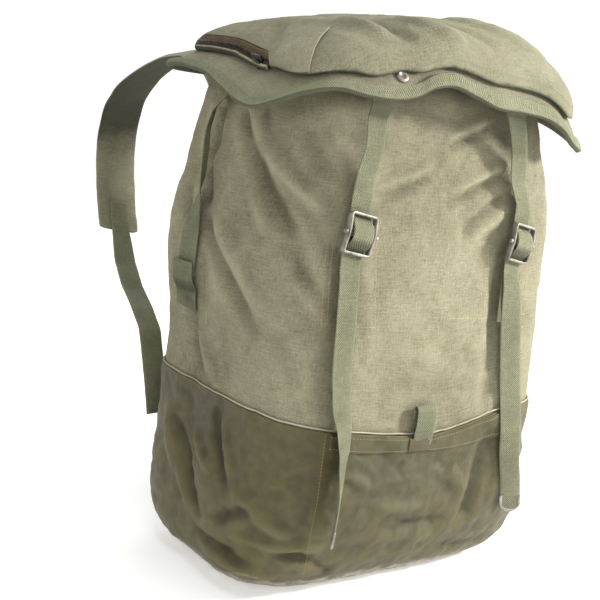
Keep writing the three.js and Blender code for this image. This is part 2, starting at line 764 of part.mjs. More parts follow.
function toSolid(geometry) {
  const merged = weld(geometry);
  return new wasm.Manifold(
    new wasm.Mesh({
      numProp: 3,
      vertProperties: new Float32Array(merged.getAttribute("position").array),
      triVerts: new Uint32Array(merged.index.array),
    }),
  );
}

function toGeometry(solid) {
  const { vertProperties, triVerts } = solid.getMesh();
  const geometry = new THREE.BufferGeometry();
  geometry.setAttribute("position", new THREE.BufferAttribute(vertProperties, 3));
  geometry.setIndex(new THREE.BufferAttribute(triVerts, 1));
  geometry.computeVertexNormals();
  return geometry;
}

// The stitched patch on the pocket's front left corner.
function cornerPatch() {
  const under = CLOTH / 2 + REST + GAP;
  const rows = (face) =>
    PATCH_REACHES.map((reach) =>
      PATCH_AROUNDS.map((around) => lidPoint(around, reach, pocketLift(around, reach) + face)),
    );
  return sheet(rows(under + PATCH_THICK), rows(under));
}

function lidSnap() {
  const profile = [
    [0, 0],
    [1, 0],
    [1, 0.55],
    [0.7, 1],
    [0, 1],
  ];
  const geometry = new THREE.LatheGeometry(
    profile.map(([across, up]) => new THREE.Vector2(across * SNAP_RADIUS, up * SNAP_HEIGHT)),
    ROUND_SIDES,
  );
  const normal = lidNormal(SNAP_AROUND, SNAP_REACH);
  geometry.applyQuaternion(new THREE.Quaternion().setFromUnitVectors(new THREE.Vector3(0, 1, 0), normal));
  const place = lidPoint(SNAP_AROUND, SNAP_REACH, CLOTH / 2 + REST);
  geometry.translate(place.x, place.y, place.z);
  return weld(geometry);
}

// The local frame of a buckle, at the middle of its bar.
function buckleFrame(strap) {
  return frontFrame(strap.buckleX, strap.buckleHeight, 0);
}

function inBuckle({ origin, across, up, out }, aside, above, lift) {
  return origin
    .clone()
    .addScaledVector(across, aside)
    .addScaledVector(up, above)
    .addScaledVector(out, lift);
}

function lidStrapStations(strap) {
  const frame = buckleFrame(strap);
  const stations = [];
  const underLid = CLOTH / 2 + BINDING_GAP + BINDING + WEBBING / 2;
  for (const reach of [0.9, 0.96, 1]) {
    const middle = lidPoint(strap.lidAround, reach, -underLid - REST - STRAP_LID_GAP[strap.side]);
    const ahead = lidPoint(strap.lidAround + 3, reach, 0).sub(lidPoint(strap.lidAround - 3, reach, 0));
    const across = ahead.normalize();
    stations.push({ middle, across, out: lidNormal(strap.lidAround, reach), width: WEBBING_WIDTH });
  }
  for (const row of strap.top) {
    const place = frontFrame(row.x, row.height, 0);
    stations.push({
      middle: place.origin.clone().addScaledVector(place.out, row.lift),
      across: place.across,
      out: place.out,
      width: WEBBING_WIDTH,
    });
  }
  const threaded = THREADING.map((row) => inBuckle(frame, 0, row.up, row.lift));
  for (const station of pathStations(threaded, frame.across, WEBBING_WIDTH)) {
    station.out.negate();
    stations.push(station);
  }
  for (const row of strap.tail) {
    const place = frontFrame(row.x, row.height, coverAt(row.height));
    const twist = THREE.MathUtils.degToRad(row.twist);
    stations.push({
      middle: place.origin.clone().addScaledVector(place.out, row.lift),
      across: place.across.clone().applyAxisAngle(place.up, twist),
      out: place.out.clone().applyAxisAngle(place.up, twist),
      width: WEBBING_WIDTH,
    });
  }
  return stations;
}

// The metal end of a tail: a flat ferrule folded round the webbing.
function strapTip(stations) {
  const end = stations[stations.length - 1];
  const before = stations[stations.length - 2];
  const down = end.middle.clone().sub(before.middle).normalize();
  const ring = (along, wide, thick) =>
    [
      [-1, 1],
      [1, 1],
      [1, -1],
      [-1, -1],
    ].map(([side, face]) =>
      end.middle
        .clone()
        .addScaledVector(down, along)
        .addScaledVector(end.across, (side * wide) / 2)
        .addScaledVector(end.out, (face * thick) / 2),
    );
  const wide = WEBBING_WIDTH + 2 * TIP_THICK;
  const thick = WEBBING + 2 * TIP_THICK;
  return sweep([
    ring(GAP, wide, thick),
    ring(TIP_LENGTH * 0.6, wide, thick),
    ring(TIP_LENGTH * 0.88, wide * 0.84, thick * 0.9),
    ring(TIP_LENGTH, wide * 0.5, thick * 0.8),
  ]);
}

// A steel strip bent into a frame, its lower half tipped away from the bag,
// with a hole in each side for the bar.
function buckle(strap) {
  const frame = buckleFrame(strap);
  const outline = (inset) => {
    const wide = BUCKLE_WIDTH / 2 - inset;
    const tall = BUCKLE_HEIGHT / 2 - inset;
    const corner = BUCKLE_CORNER - inset;
    const points = [];
    const corners = [
      [1, -1, -90],
      [1, 1, 0],
      [-1, 1, 90],
      [-1, -1, 180],
    ];
    for (const [side, end, start] of corners) {
      for (const turn of [0, 45, 90]) {
        const angle = THREE.MathUtils.degToRad(start + turn);
        points.push([
          side * (wide - corner) + corner * Math.cos(angle),
          end * (tall - corner) + corner * Math.sin(angle),
        ]);
      }
      if (end === 1 && side === -1) points.push([-wide, 0]);
      if (end === -1 && side === 1) points.push([wide, 0]);
    }
    return points;
  };
  const bend = Math.tan(THREE.MathUtils.degToRad(BUCKLE_BEND));
  const place = ([aside, above], lift) => inBuckle(frame, aside, above, lift + Math.max(0, -above) * bend);
  const outer = outline(0);
  const inner = outline(BUCKLE_WALL);
  const rings = outer.map((point, index) => [
    place(point, BUCKLE_STAND),
    place(point, BUCKLE_STAND + BUCKLE_DEPTH),
    place(inner[index], BUCKLE_STAND + BUCKLE_DEPTH),
    place(inner[index], BUCKLE_STAND),
  ]);
  const holeRadius = BAR_RADIUS + GAP;
  const hole = new THREE.CylinderGeometry(holeRadius, holeRadius, BUCKLE_WIDTH * 1.5, ROUND_SIDES);
  hole.rotateZ(Math.PI / 2);
  hole.applyMatrix4(buckleMatrix(frame, BAR_STAND));
  return toGeometry(toSolid(sweep(rings, true)).subtract(toSolid(hole)));
}

function buckleMatrix(frame, lift) {
  const matrix = new THREE.Matrix4().makeBasis(frame.across, frame.up, frame.out);
  matrix.setPosition(inBuckle(frame, 0, 0, lift));
  return matrix;
}

function buckleBar(strap) {
  const half = BUCKLE_WIDTH / 2 + GAP;
  const profile = [
    [0, -half - BAR_NUB_LENGTH],
    [BAR_NUB_RADIUS, -half - BAR_NUB_LENGTH],
    [BAR_NUB_RADIUS, -half],
    [BAR_RADIUS, -half],
    [BAR_RADIUS, half],
    [BAR_NUB_RADIUS, half],
    [BAR_NUB_RADIUS, half + BAR_NUB_LENGTH],
    [0, half + BAR_NUB_LENGTH],
  ];
  const geometry = new THREE.LatheGeometry(
    profile.map(([radius, along]) => new THREE.Vector2(radius, along)),
    ROUND_SIDES,
  );
  geometry.rotateZ(Math.PI / 2);
  geometry.applyMatrix4(buckleMatrix(buckleFrame(strap), BAR_STAND));
  return weld(geometry);
}

// The short webbing that holds a buckle: sewn to the bag, with its upper end turned round the bar.
function buckleTab(strap) {
  const frame = buckleFrame(strap);
  const sewn = TAB_SEWN.map((above) => {
    const place = frontFrame(strap.buckleX + above * TAB_LEAN, strap.buckleHeight + above, 0);
    return place.origin.addScaledVector(place.out, REST + TAB_THICK / 2);
  });
  const hook = BAR_RADIUS + HOOK_GAP + TAB_THICK / 2;
  const turned = [-75, -35, 5, 45, 85, 125, 165, 190].map((turn) => {
    const angle = THREE.MathUtils.degToRad(turn);
    return inBuckle(frame, 0, Math.cos(angle) * hook, BAR_STAND + Math.sin(angle) * hook);
  });
  const rise = inBuckle(frame, 0, TAB_RISE, BAR_STAND - hook - TAB_RISE_DROP);
  return webbing(pathStations([...sewn, rise, ...turned], frame.across, WEBBING_WIDTH - 1), TAB_THICK);
}

// Stations along a path whose webbing lies square to one direction all the way.
function pathStations(path, across, width) {
  return path.map((middle, index) => {
    const last = path[Math.max(0, index - 1)];
    const next = path[Math.min(path.length - 1, index + 1)];
    const along = next.clone().sub(last);
    return { middle, across, out: new THREE.Vector3().crossVectors(across, along).normalize(), width };
  });
}

// The loop is one band with both ends sewn down. It goes up over the seam, over its top fold
// and down behind to the canvas.
function frontLoop() {
  const path = LOOP_PATH.map(({ above, lift }) => {
    const place = frontFrame(LOOP_X, SEAM_HEIGHT + above, 0);
    return place.origin.addScaledVector(place.out, lift);
  });
  return webbing(pathStations(path, frontFrame(LOOP_X, SEAM_HEIGHT, 0).across, LOOP_WIDTH), WEBBING);
}

function sideStations(rows, side) {
  return rows.map((row) => {
    const place = sideFrame(row.y, row.height, side);
    const turn = THREE.MathUtils.degToRad(row.turn * SIDE_STAND[side]) * side;
    const off = SIDE_REST + (row.off - SIDE_REST) * SIDE_STAND[side];
    return {
      middle: place.origin.clone().addScaledVector(place.out, off),
      across: place.across.clone().applyAxisAngle(place.up, turn),
      out: place.out.clone().applyAxisAngle(place.up, turn),
      width: row.width,
    };
  });
}

// The sewn end of a side strap, cut on the slant.
function sidePatch(side) {
  const half = SIDE_PATCH_WIDTH / 2;
  const rows = (lift) =>
    [SIDE_PATCH_TOP, 278, 264, SIDE_PATCH_FOOT].map((height, index, heights) =>
      [-1, 0, 1].map((edge) => {
        const slant = index === heights.length - 1 ? edge * SIDE_PATCH_SLANT : 0;
        const place = sideFrame(SIDE_PATCH_Y + edge * half, height + slant, side);
        return place.origin.addScaledVector(place.out, lift);
      }),
    );
  const under = SIDE_REST + WEBBING / 2 + PATCH_REST[side];
  return sheet(rows(under + WEBBING), rows(under));
}

// Stations of a strap over a shoulder. The tilt turns it out over the shoulder once it has left the bag.
function shoulderStations(rows, side, width, tilt) {
  const places = rows.map(({ x, y, height }) => new THREE.Vector3(side * x, y, height));
  return places.map((middle, index) => {
    const last = places[Math.max(0, index - 1)];
    const next = places[Math.min(places.length - 1, index + 1)];
    const along = next.clone().sub(last).normalize();
    const level = new THREE.Vector3(1, 0, 0).addScaledVector(along, -along.x).normalize();
    const leaving = THREE.MathUtils.smoothstep(middle.y, SHOULDER_TILT_FROM, SHOULDER_TILT_TO);
    const across = level.applyAxisAngle(along, THREE.MathUtils.degToRad(tilt * side * leaving));
    return { middle, across, out: new THREE.Vector3().crossVectors(across, along).normalize(), width };
  });
}

// The narrow webbing from the end of a shoulder strap, where it is sewn on, to the foot of the bag.
function shoulderWebbing(side, strap) {
  const rows = shoulderStations(LOWER_WEBBING, side, WEBBING_WIDTH, 0);
  const under = SHOULDER_THICK / 2 + GAP + WEBBING / 2;
  const sewn = strap.slice(-2).map(({ middle, across, out }) => ({
    middle: middle.clone().addScaledVector(out, -under),
    across,
    out,
    width: WEBBING_WIDTH,
  }));
  return webbing([...sewn, ...rows], WEBBING);
}

addPiece("bag_upper", bagUpper(), CANVAS);
addPiece("bag_lower", bagLower(), COATED);
addPiece("seam_piping", seamPiping(), PIPING_LOOK);
addPiece("front_hem", frontHem(), COATED);
addPiece("lid_panel", lidPanel(), LID_CANVAS);
addPiece("lid_binding", lidBinding(), WEBBING_LOOK);
addPiece("lid_pocket", lidPocket(), LID_CANVAS);
addPiece("zip_tape", zipTape(), ZIP_LOOK);
addPiece("zip_slider", zipSlider(), DARK_METAL);
addPiece("corner_patch", cornerPatch(), LID_CANVAS);
addPiece("lid_snap", lidSnap(), STEEL);
for (const strap of LID_STRAPS) {
  const stations = lidStrapStations(strap);
  addPiece(`lid_strap_${strap.side}`, webbing(stations, WEBBING), WEBBING_LOOK);
  addPiece(`strap_tip_${strap.side}`, strapTip(stations), STEEL);
  addPiece(`buckle_${strap.side}`, buckle(strap), STEEL);
  addPiece(`buckle_bar_${strap.side}`, buckleBar(strap), STEEL);
  addPiece(`buckle_tab_${strap.side}`, buckleTab(strap), TAB_LOOK);
}
addPiece("front_loop", frontLoop(), WEBBING_LOOK);
for (const [name, side] of [
  ["left", -1],
  ["right", 1],
]) {
  addPiece(`side_tab_${name}`, webbing(sideStations(SIDE_TAB, side), WEBBING), LID_CANVAS);
  addPiece(`side_strap_${name}`, webbing(sideStations(SIDE_STRAP, side), WEBBING), WEBBING_LOOK);
  addPiece(`side_patch_${name}`, sidePatch(side), WEBBING_LOOK);
  const strap = shoulderStations(SHOULDER_STRAP, side, SHOULDER_WIDTH, SHOULDER_TILT);
  addPiece(`shoulder_strap_${name}`, webbing(strap, SHOULDER_THICK), LID_CANVAS);
  addPiece(`shoulder_webbing_${name}`, shoulderWebbing(side, strap), WEBBING_LOOK);
}

const backAtCarry = outlineCross(CARRY_HEIGHT, "x", 0, 1, 0);
part.position.set(0, -backAtCarry, -CARRY_HEIGHT);

export default part;
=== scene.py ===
import math

import bpy
import numpy as np
from mathutils import Matrix, Vector, noise
from mathutils.bvhtree import BVHTree


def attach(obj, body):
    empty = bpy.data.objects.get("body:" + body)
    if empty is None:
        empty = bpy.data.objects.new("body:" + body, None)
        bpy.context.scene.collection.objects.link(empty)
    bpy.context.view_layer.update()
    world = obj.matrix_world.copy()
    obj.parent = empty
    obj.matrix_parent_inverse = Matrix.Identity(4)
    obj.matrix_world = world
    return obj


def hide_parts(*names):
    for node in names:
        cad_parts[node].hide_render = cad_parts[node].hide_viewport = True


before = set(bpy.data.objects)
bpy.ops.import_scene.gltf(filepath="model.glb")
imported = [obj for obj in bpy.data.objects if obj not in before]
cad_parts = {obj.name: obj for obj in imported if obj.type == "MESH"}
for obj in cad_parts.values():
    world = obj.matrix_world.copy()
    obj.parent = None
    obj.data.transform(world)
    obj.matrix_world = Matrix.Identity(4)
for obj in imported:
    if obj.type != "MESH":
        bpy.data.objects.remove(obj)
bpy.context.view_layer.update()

# Lengths in the tables are millimetres and heights are above the bag's base, as in the part's own
# source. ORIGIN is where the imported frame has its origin. Places round the bag are in degrees from
# the middle of the front, negative towards the wearer's left.
MM = 0.001
ORIGIN = np.array([0.0, 113.98, 470.0])
BODY = "root"

# The bag
BAG_WIDTH = 348
BAG_DEPTH = 278
SEAM_HEIGHT = 177
UPPER_FOOT = 165
MOUTH_HEIGHT = 501
MOUTH_GATHER_HEIGHT = 470
MOUTH_PLEATS = 22
MOUTH_PLEAT_DEPTH = 4
LAP_LIFT = 1.9
CLOTH = 1.4
COATED_CLOTH = 1.6
FOLD_RADIUS = 168
FOLD_DEPTH = 2.6

# A row per section: height, width and depth as shares of the bag's, and how square it is.
SECTIONS = np.array([
    (0, 0.85, 0.63, 4.0),
    (9, 0.92, 0.73, 4.2),
    (24, 0.98, 0.82, 4.5),
    (48, 1.0, 0.9, 4.8),
    (80, 0.99, 0.96, 4.8),
    (115, 0.97, 0.99, 4.8),
    (148, 0.955, 1.0, 4.8),
    (177, 0.95, 1.0, 4.8),
    (205, 0.955, 0.99, 4.7),
    (236, 0.965, 0.98, 4.6),
    (270, 0.985, 0.96, 4.5),
    (305, 1.0, 0.94, 4.4),
    (340, 1.0, 0.92, 4.2),
    (372, 0.99, 0.9, 4.0),
    (402, 0.98, 0.88, 3.7),
    (430, 0.965, 0.865, 3.4),
    (454, 0.945, 0.85, 3.2),
    (470, 0.91, 0.82, 3.1),
    (484, 0.83, 0.75, 3.0),
    (494, 0.71, 0.63, 2.8),
    (501, 0.57, 0.5, 2.5),
])

# How far the seam hangs below its height at the sides: around, drop
SEAM_SAG = np.array([
    (-180, 0), (-62, 0), (-48, 4), (-38, 8.5), (-26, 12.5), (-10, 17),
    (0, 18.5), (11, 15), (22, 8), (33, 1.5), (42, 0), (180, 0),
])

# Broad folds: around, height, across, along, lean in degrees, depth.
BROAD_FOLDS = [
    (-64, 380, 15, 60, -24, -5),
    (-42, 330, 26, 90, -8, 4),
    (-84, 330, 16, 85, 6, 3.5),
    (-97, 300, 13, 80, 4, -4.5),
    (-112, 330, 15, 70, -4, 4),
    (-27, 386, 12, 42, 66, -2.5),
    (14, 372, 12, 50, 62, -3),
    (5, 432, 12, 40, 60, 2.5),
    (62, 300, 16, 34, 20, -5),
    (58, 372, 22, 40, -10, 4),
    (-98, 118, 15, 60, -8, -4),
    (-80, 95, 18, 55, -18, 4),
    (-58, 92, 24, 34, 52, 5),
    (-66, 40, 12, 50, 80, -4),
    (30, 60, 16, 60, 78, 3),
]

# Creases along lines: around and height of both ends, half width, depth. Deep is negative.
UPPER_CREASES = [
    (-84, 436, -58, 346, 8, -4.8),
    (-58, 430, -50, 398, 9, -2.6),
    (-68, 414, -63, 380, 8, 2.2),
    (-96, 330, -66, 250, 11, -4.6),
    (-86, 338, -60, 262, 10, 3.0),
    (-86, 458, -80, 424, 6, -2.4),
    (-74, 462, -71, 430, 6, -2.0),
    (-98, 440, -96, 400, 6, -2.6),
    (-33, 381, -12, 400, 5, -2.4),
    (-31, 389, -11, 408, 6, 1.6),
    (-2, 429, 20, 447, 5, -2.4),
    (-2, 438, 18, 455, 6, 1.6),
    (0, 376, 31, 406, 6, -2.6),
    (2, 386, 30, 415, 6, 1.7),
    (10, 350, 33, 388, 6, -2.6),
    (13, 344, 35, 379, 6, 1.7),
    (31, 330, 28, 190, 13, -3.0),
    (-43, 330, -43, 196, 12, -2.0),
    (-62, 292, -52, 270, 4, 0.9),
    (-96, 440, -101, 398, 6, -7.5),
    (-101, 404, -98, 356, 6, -6.5),
    (-67, 408, -51, 368, 7, 4.4),
    (-72, 372, -66, 344, 6, 2.4),
    (-58, 330, -50, 296, 7, -2.4),
    (-54, 300, -44, 270, 7, 2.2),
    (-56, 374, -46, 326, 7, -1.8),
    (-52, 356, -46, 300, 9, 1.8),
    (-36, 330, -30, 250, 9, 1.2),
    (-70, 300, -50, 214, 8, -1.5),
    (-100, 230, -84, 186, 8, 2.2),
    (-108, 362, -106, 300, 7, -3.0),
    (-115, 360, -116, 250, 9, 2.6),
    (-122, 420, -124, 330, 9, -3.0),
    (-135, 400, -138, 260, 12, 2.4),
    (-104, 250, -96, 196, 8, -2.4),
    (-20, 250, 12, 236, 10, 1.2),
    (-24, 224, 20, 214, 7, -1.0),
    (58, 440, 66, 380, 9, -3.0),
    (74, 430, 78, 300, 10, 2.8),
    (88, 400, 90, 260, 9, -3.2),
    (104, 420, 106, 300, 10, 2.6),
    (120, 400, 118, 240, 10, -2.8),
    (150, 420, 156, 300, 14, -2.4),
    (-155, 400, -160, 300, 14, -2.2),
    (170, 380, -176, 260, 14, 2.4),
    (64, 250, 84, 204, 9, 2.2),
]
LOWER_CREASES = [
    (-82, 160, -72, 104, 5, -3.6),
    (-79, 150, -68, 108, 6, 1.8),
    (-106, 128, -83, 60, 7, -3.4),
    (-93, 133, -81, 108, 5, 2.8),
    (-99, 84, -91, 66, 5, 2.8),
    (-112, 140, -104, 90, 7, 2.2),
    (-73, 67, -59, 90, 6, -3.6),
    (-60, 96, -50, 72, 7, 3.4),
    (-68, 100, -60, 92, 6, 1.8),
    (-64, 60, -40, 56, 6, 2.4),
    (-52, 49, -44, 46, 4, -2.6),
    (-44, 46, -36, 24, 4, -2.4),
    (-50, 40, -40, 30, 5, 1.8),
    (-84, 44, -60, 34, 6, -2.6),
    (-78, 30, -52, 20, 5, 2.0),
    (-21, 96, 0, 92, 9, 1.8),
    (-30, 60, 8, 52, 10, 1.6),
    (-10, 74, 14, 70, 7, -1.4),
    (28, 156, 26, 74, 11, -3.4),
    (37, 150, 36, 84, 8, 2.2),
    (12, 126, 22, 100, 8, 1.4),
    (-36, 140, -24, 118, 6, 1.2),
    (52, 150, 60, 60, 9, -3.0),
    (70, 140, 78, 50, 9, 2.8),
    (92, 150, 96, 60, 8, -3.0),
    (110, 130, 120, 40, 9, 2.8),
    (-128, 150, -122, 60, 9, -3.0),
    (-140, 120, -150, 40, 10, 2.8),
    (160, 140, 170, 60, 12, -2.2),
    (-165, 130, -170, 70, 12, 2.0),
    (20, 34, 48, 28, 6, -2.2),
    (62, 40, 90, 26, 6, 2.0),
]
VERTICAL_SEAM = [(-42.7, 170), (-43.1, 105), (-44.7, 48), (-45.6, 22)]
VERTICAL_SEAM_STEP = 1.1
SEAM_STITCH_OFF = 1.3

# The lid
LID_WIDTH = 370
LID_DEPTH = 274
LID_CENTRE = (-10, -14)
LID_SQUARE = 5
LID_FLARE_REACH = 0.8
LID_CLOTH = 1.8

# Across, height of the lid's crown
LID_CROWN = np.array([
    (-190, 494),
    (-150, 503),
    (-90, 513),
    (-20, 524),
    (60, 524),
    (120, 512),
    (175, 495),
])

# Reach, share of the way down to the edge
LID_RINGS = np.array([
    (0, 0),
    (0.38, 0.02),
    (0.62, 0.07),
    (0.78, 0.2),
    (0.87, 0.38),
    (0.93, 0.62),
    (1, 1),
])

# Around, height of the edge, flare
LID_EDGE = np.array([
    (-180, 470, 0),
    (-130, 472, 0),
    (-113, 476, 4),
    (-104, 477, 8),
    (-97, 475, 8),
    (-90, 472, 8),
    (-82, 461, 6),
    (-76, 453, 5),
    (-68, 449, 4),
    (-62, 455, 2),
    (-55, 465, 0),
    (-48, 471, 0),
    (-40, 468, 2),
    (-31, 468, 2),
    (-25, 472, 1),
    (-19, 480, 0),
    (-11, 484, 0),
    (0, 478, 1),
    (11, 470, 3),
    (24, 468, 3),
    (35, 463, 4),
    (41, 455, 3),
    (47, 443, 1),
    (53, 437, 1),
    (59, 437, 1),
    (66, 446, 2),
    (74, 456, 2),
    (84, 464, 2),
    (100, 469, 2),
    (130, 470, 0),
    (180, 470, 0),
])
# The binding's width round the left side and along the front
BINDING_WIDTH = (8.0, 12.5)
BINDING = 1.4
BINDING_STAND = 1.6

# The pocket's outline from its middle out: share of the way, reach, lift, and the same along the zip.
POCKET_PROFILE = np.array([
    (0, 0, 19, 0, 19),
    (0.4, 0.38, 19, 0.38, 18.6),
    (0.62, 0.62, 18, 0.62, 17.6),
    (0.76, 0.765, 16, 0.75, 16.6),
    (0.84, 0.832, 13, 0.81, 15.6),
    (0.89, 0.862, 9.6, 0.832, 14.6),
    (0.93, 0.876, 6.4, 0.842, 13.6),
    (0.96, 0.88, 4.2, 0.843, 12.6),
    (0.98, 0.876, 3.0, 0.838, 12),
    (1, 0.862, 2.6, 0.828, 12),
])
POCKET_REACH_MORE = 0.066
SNAP_AROUND = -31
SNAP_REACH = 0.928
SNAP_NOTCH = 0.4
ZIP_HEAD_REACH = 0.842
ZIP_FOOT_REACH = 0.874
ZIP_REACH = 0.86
ZIP_FRONT = -68
ZIP_BACK = 64
ZIP_TAPE = 1.2
ZIP_FOOT = 2.2
ZIP_HEAD = 12.6
ZIP_LINE = 8.2

# Wrinkles of the pocket: around and reach of both ends, half width, depth.
POCKET_WRINKLES = [
    (-62, 0.42, -40, 0.74, 10, 2.4),
    (-50, 0.5, -30, 0.8, 8, -2.4),
    (-30, 0.55, -8, 0.82, 9, 2.2),
    (-10, 0.6, 12, 0.8, 8, -2.0),
    (16, 0.5, 40, 0.8, 9, 2.6),
    (30, 0.45, 54, 0.72, 9, -2.4),
    (50, 0.4, 62, 0.8, 10, 2.2),
    (-74, 0.5, -100, 0.7, 9, 2.0),
    (-86, 0.66, -70, 0.82, 7, -1.8),
    (90, 0.5, 76, 0.8, 9, -2.4),
    (130, 0.4, 110, 0.78, 10, 2.2),
    (-130, 0.4, -120, 0.8, 10, -2.2),
    (170, 0.5, 150, 0.8, 9, 2.2),
]

# The lid straps and their buckles
WEBBING_WIDTH = 25
WEBBING = 1.8
BUCKLE_WIDTH = 34
BUCKLE_HEIGHT = 37
BUCKLE_WALL = 2.4
BUCKLE_DEPTH = 6
BUCKLE_CORNER = 3.5
BUCKLE_STAND = 9.4
BUCKLE_BEND = -14
BUCKLE_SLANT = 10
BAR_RADIUS = 1.3
BAR_NUB_RADIUS = 2.2
BAR_NUB_LENGTH = 3.5
BAR_STAND = BUCKLE_STAND + 3
TAB_WIDTH = 24
TAB_THICK = 1.5
TAB_SEWN = [-78, -67, -56, -45, -34, -20]
TAB_RISE = -6.5
TAB_RISE_DROP = 4.2
TAB_REST = 1.2
HOOK_GAP = 0.7
TIP_LENGTH = 20

# Up from the bar, lift off the bag
THREADING = [
    (34, 7.4),
    (27, 7.2),
    (21, 7.3),
    (17, 7.5),
    (13.5, 10.4),
    (9, 14.6),
    (3, 16.4),
    (-3, 16.3),
    (-8, 14.4),
    (-11.5, 10.6),
    (-14.5, 6.4),
    (-18, 4.6),
    (-23, 4.9),
    (-30, 5.4),
]

# Rows of top and tail: height, x, lift, turn in degrees away from the front.
LID_STRAPS = {
    "left": {
        "buckle": (-109.5, 347),
        "buckle_turn": 10,
        "tab_lean": 0.0,
        "lid_around": -34.5,
        "lid_gap": 0.7,
        "top": [(446, -102, 25, 12), (422, -98.5, 16.5, 15), (398, -102.5, 10.5, 14)],
        "tail": [
            (302, -112, 5.8, 11),
            (270, -111.6, 5.6, 11),
            (240, -111.5, 5.0, 11),
            (222, -111, 5.2, 12),
            (205, -110, 5.6, 15),
            (190, -109.5, 6.4, 19),
            (177, -109, 8, 24),
            (165, -108.5, 9.6, 30),
            (154, -108, 11.4, 36),
            (142, -108, 13, 42),
            (130, -108, 14.5, 47),
            (117, -108, 15.5, 51),
            (102, -108.5, 16.5, 53),
            (88, -109, 17, 53),
        ],
    },
    "right": {
        "buckle": (85.5, 341.5),
        "buckle_turn": 11,
        "tab_lean": 0.06,
        "lid_around": 22,
        "lid_gap": 1.05,
        "top": [(446, 60.5, 23, 6), (425, 73.5, 15, 9), (400, 79, 10.5, 12)],
        "tail": [
            (297, 85.5, 5.8, 4),
            (264, 88.5, 5, -6),
            (229, 92.5, 4.6, -8),
            (205, 96, 4.6, -10),
            (188, 98.5, 5, -10),
            (159, 99, 6, -10),
            (130, 104, 6, -10),
            (102, 113, 6.5, -10),
            (84, 118, 7, -10),
        ],
    },
}
STRAP_FACING = 0.9
COAT_COVER = 2.4
HEM_COVER = 1.9

# The band under the seam and the loop on it
HEM_LEFT = -116
HEM_RIGHT = 92
HEM_TOP = 175.5
HEM_THICK = 1.3
HEM_REST = 0.7
# x, height of the band's foot
HEM_FOOT = np.array([(-116, 154), (-92, 150), (-44, 146), (4, 144), (60, 146), (92, 151)])
LOOP_WIDTH = 23
LOOP_X = -13
LOOP_HEM_FACE = 4.8
LOOP_PATH = [
    (-26, 4.6),
    (-19, 5.6),
    (-10, 7.0),
    (0, 8.0),
    (7, 8.2),
    (11.5, 7.0),
    (12.5, 4.2),
    (9, 1.8),
    (0, 1.6),
]
LOOP_FOOT_PATCH = (-29, -4, 145.5, 158.5)

# The sides: height, y, off, width, turn
SIDE_STRAP = [
    (438, 10, 11, 12, 40),
    (420, 13, 13, 12, 50),
    (400, 15, 11, 12, 56),
    (378, 19, 9, 13, 52),
    (352, 27, 6, 18, 20),
    (325, 37, 3.6, 25, 0),
    (298, 43, 1.9, 26, 0),
    (278, 45, 1.9, 26, 0),
]
SIDE_TAB = [
    (469, -2, 1.6, 30, 0),
    (464, 0, 6, 30, 0),
    (453, 4, 9, 30, 8),
    (443, 8, 10, 24, 24),
    (434, 11, 11.5, 15, 40),
]
SIDE_STAND = {-1: 1.0, 1: 0.1}
SIDE_REST = 1.9
SIDE_PATCH_WIDTH = 30
SIDE_PATCH_Y = 45
SIDE_PATCH_TOP = 293
SIDE_PATCH_FOOT = 246
SIDE_PATCH_SLANT = 3.5

# The shoulder straps: x as the wearer's right one has it, y, height
SHOULDER_WIDTH = 56
SHOULDER_THICK = 4.6
SHOULDER_STRAP = [
    (84, 122, 424),
    (88, 124.5, 446),
    (93, 134, 468),
    (99, 149, 485),
    (106, 174, 492),
    (112, 206, 486),
    (117, 246, 471),
    (120, 286, 452),
    (120, 320, 424),
    (117, 339, 386),
    (114, 343, 346),
    (113, 335, 308),
    (115, 318, 276),
]
SHOULDER_TILT = 14
LOWER_WEBBING = [
    (120, 286, 246),
    (129, 246, 226),
    (139, 200, 213),
    (146, 162, 196),
    (149, 144, 168),
    (148, 135, 140),
    (146, 129.6, 112),
]

# Rows of stitches on the cloth: ends as around and height, and the pitch.
STITCH_ROWS = [
    ((-47.4, 338), (-46.3, 266), 3.2),
    ((-45.9, 338), (-44.8, 266), 3.2),
    ((-46.3, 266), (-29.9, 264), 3.2),
    ((-32.8, 342), (-29.9, 265), 3.2),
    ((22.3, 340), (22.8, 267), 3.2),
    ((23.5, 340), (24.0, 267), 3.2),
    ((-5.5, 271), (28.2, 268), 3.4),
    ((-93.9, 308), (-93.3, 270), 3.2),
    ((-93.2, 250), (-93.1, 226), 3.2),
    ((-19.9, 284), (-19.5, 272), 2.2),
    ((-17.0, 284), (-16.6, 272), 2.2),
    ((-19.9, 284), (-17.0, 284), 2.0),
    ((-19.5, 272), (-16.6, 272), 2.0),
    ((-19.9, 283.6), (-16.7, 272.4), 2.2),
    ((-17.1, 283.6), (-19.4, 272.4), 2.2),
]
STITCH_RADIUS = 0.36
# Share of a stitch's length, its thickness there and its lift, both as shares of the radius
STITCH_RINGS = [(0, 0.35, -0.5), (0.2, 0.95, 0.25), (0.5, 1.1, 0.45), (0.8, 0.95, 0.25), (1, 0.35, -0.5)]

# The camera at the photograph's viewing angle
CAMERA_AZIMUTH = -37.556
CAMERA_ELEVATION = 10.274
CAMERA_ROLL = 6.512
CAMERA_DISTANCE = 1202.2
CAMERA_TARGET = np.array([0.0, 0.0, 260.0])
IMAGE_SIZE = 600
FOCAL_PIXELS = 1172.35
PRINCIPAL_OFFSET = (55.17, -0.74)
SENSOR_WIDTH = 36


def to_frame(points):
    return (np.asarray(points, float) - ORIGIN) * MM


def unit(vectors):
    return vectors / np.maximum(np.linalg.norm(vectors, axis=-1, keepdims=True), 1e-9)


def smoothstep(value, low, high):
    share = np.clip((value - low) / (high - low), 0, 1)
    return share * share * (3 - 2 * share)


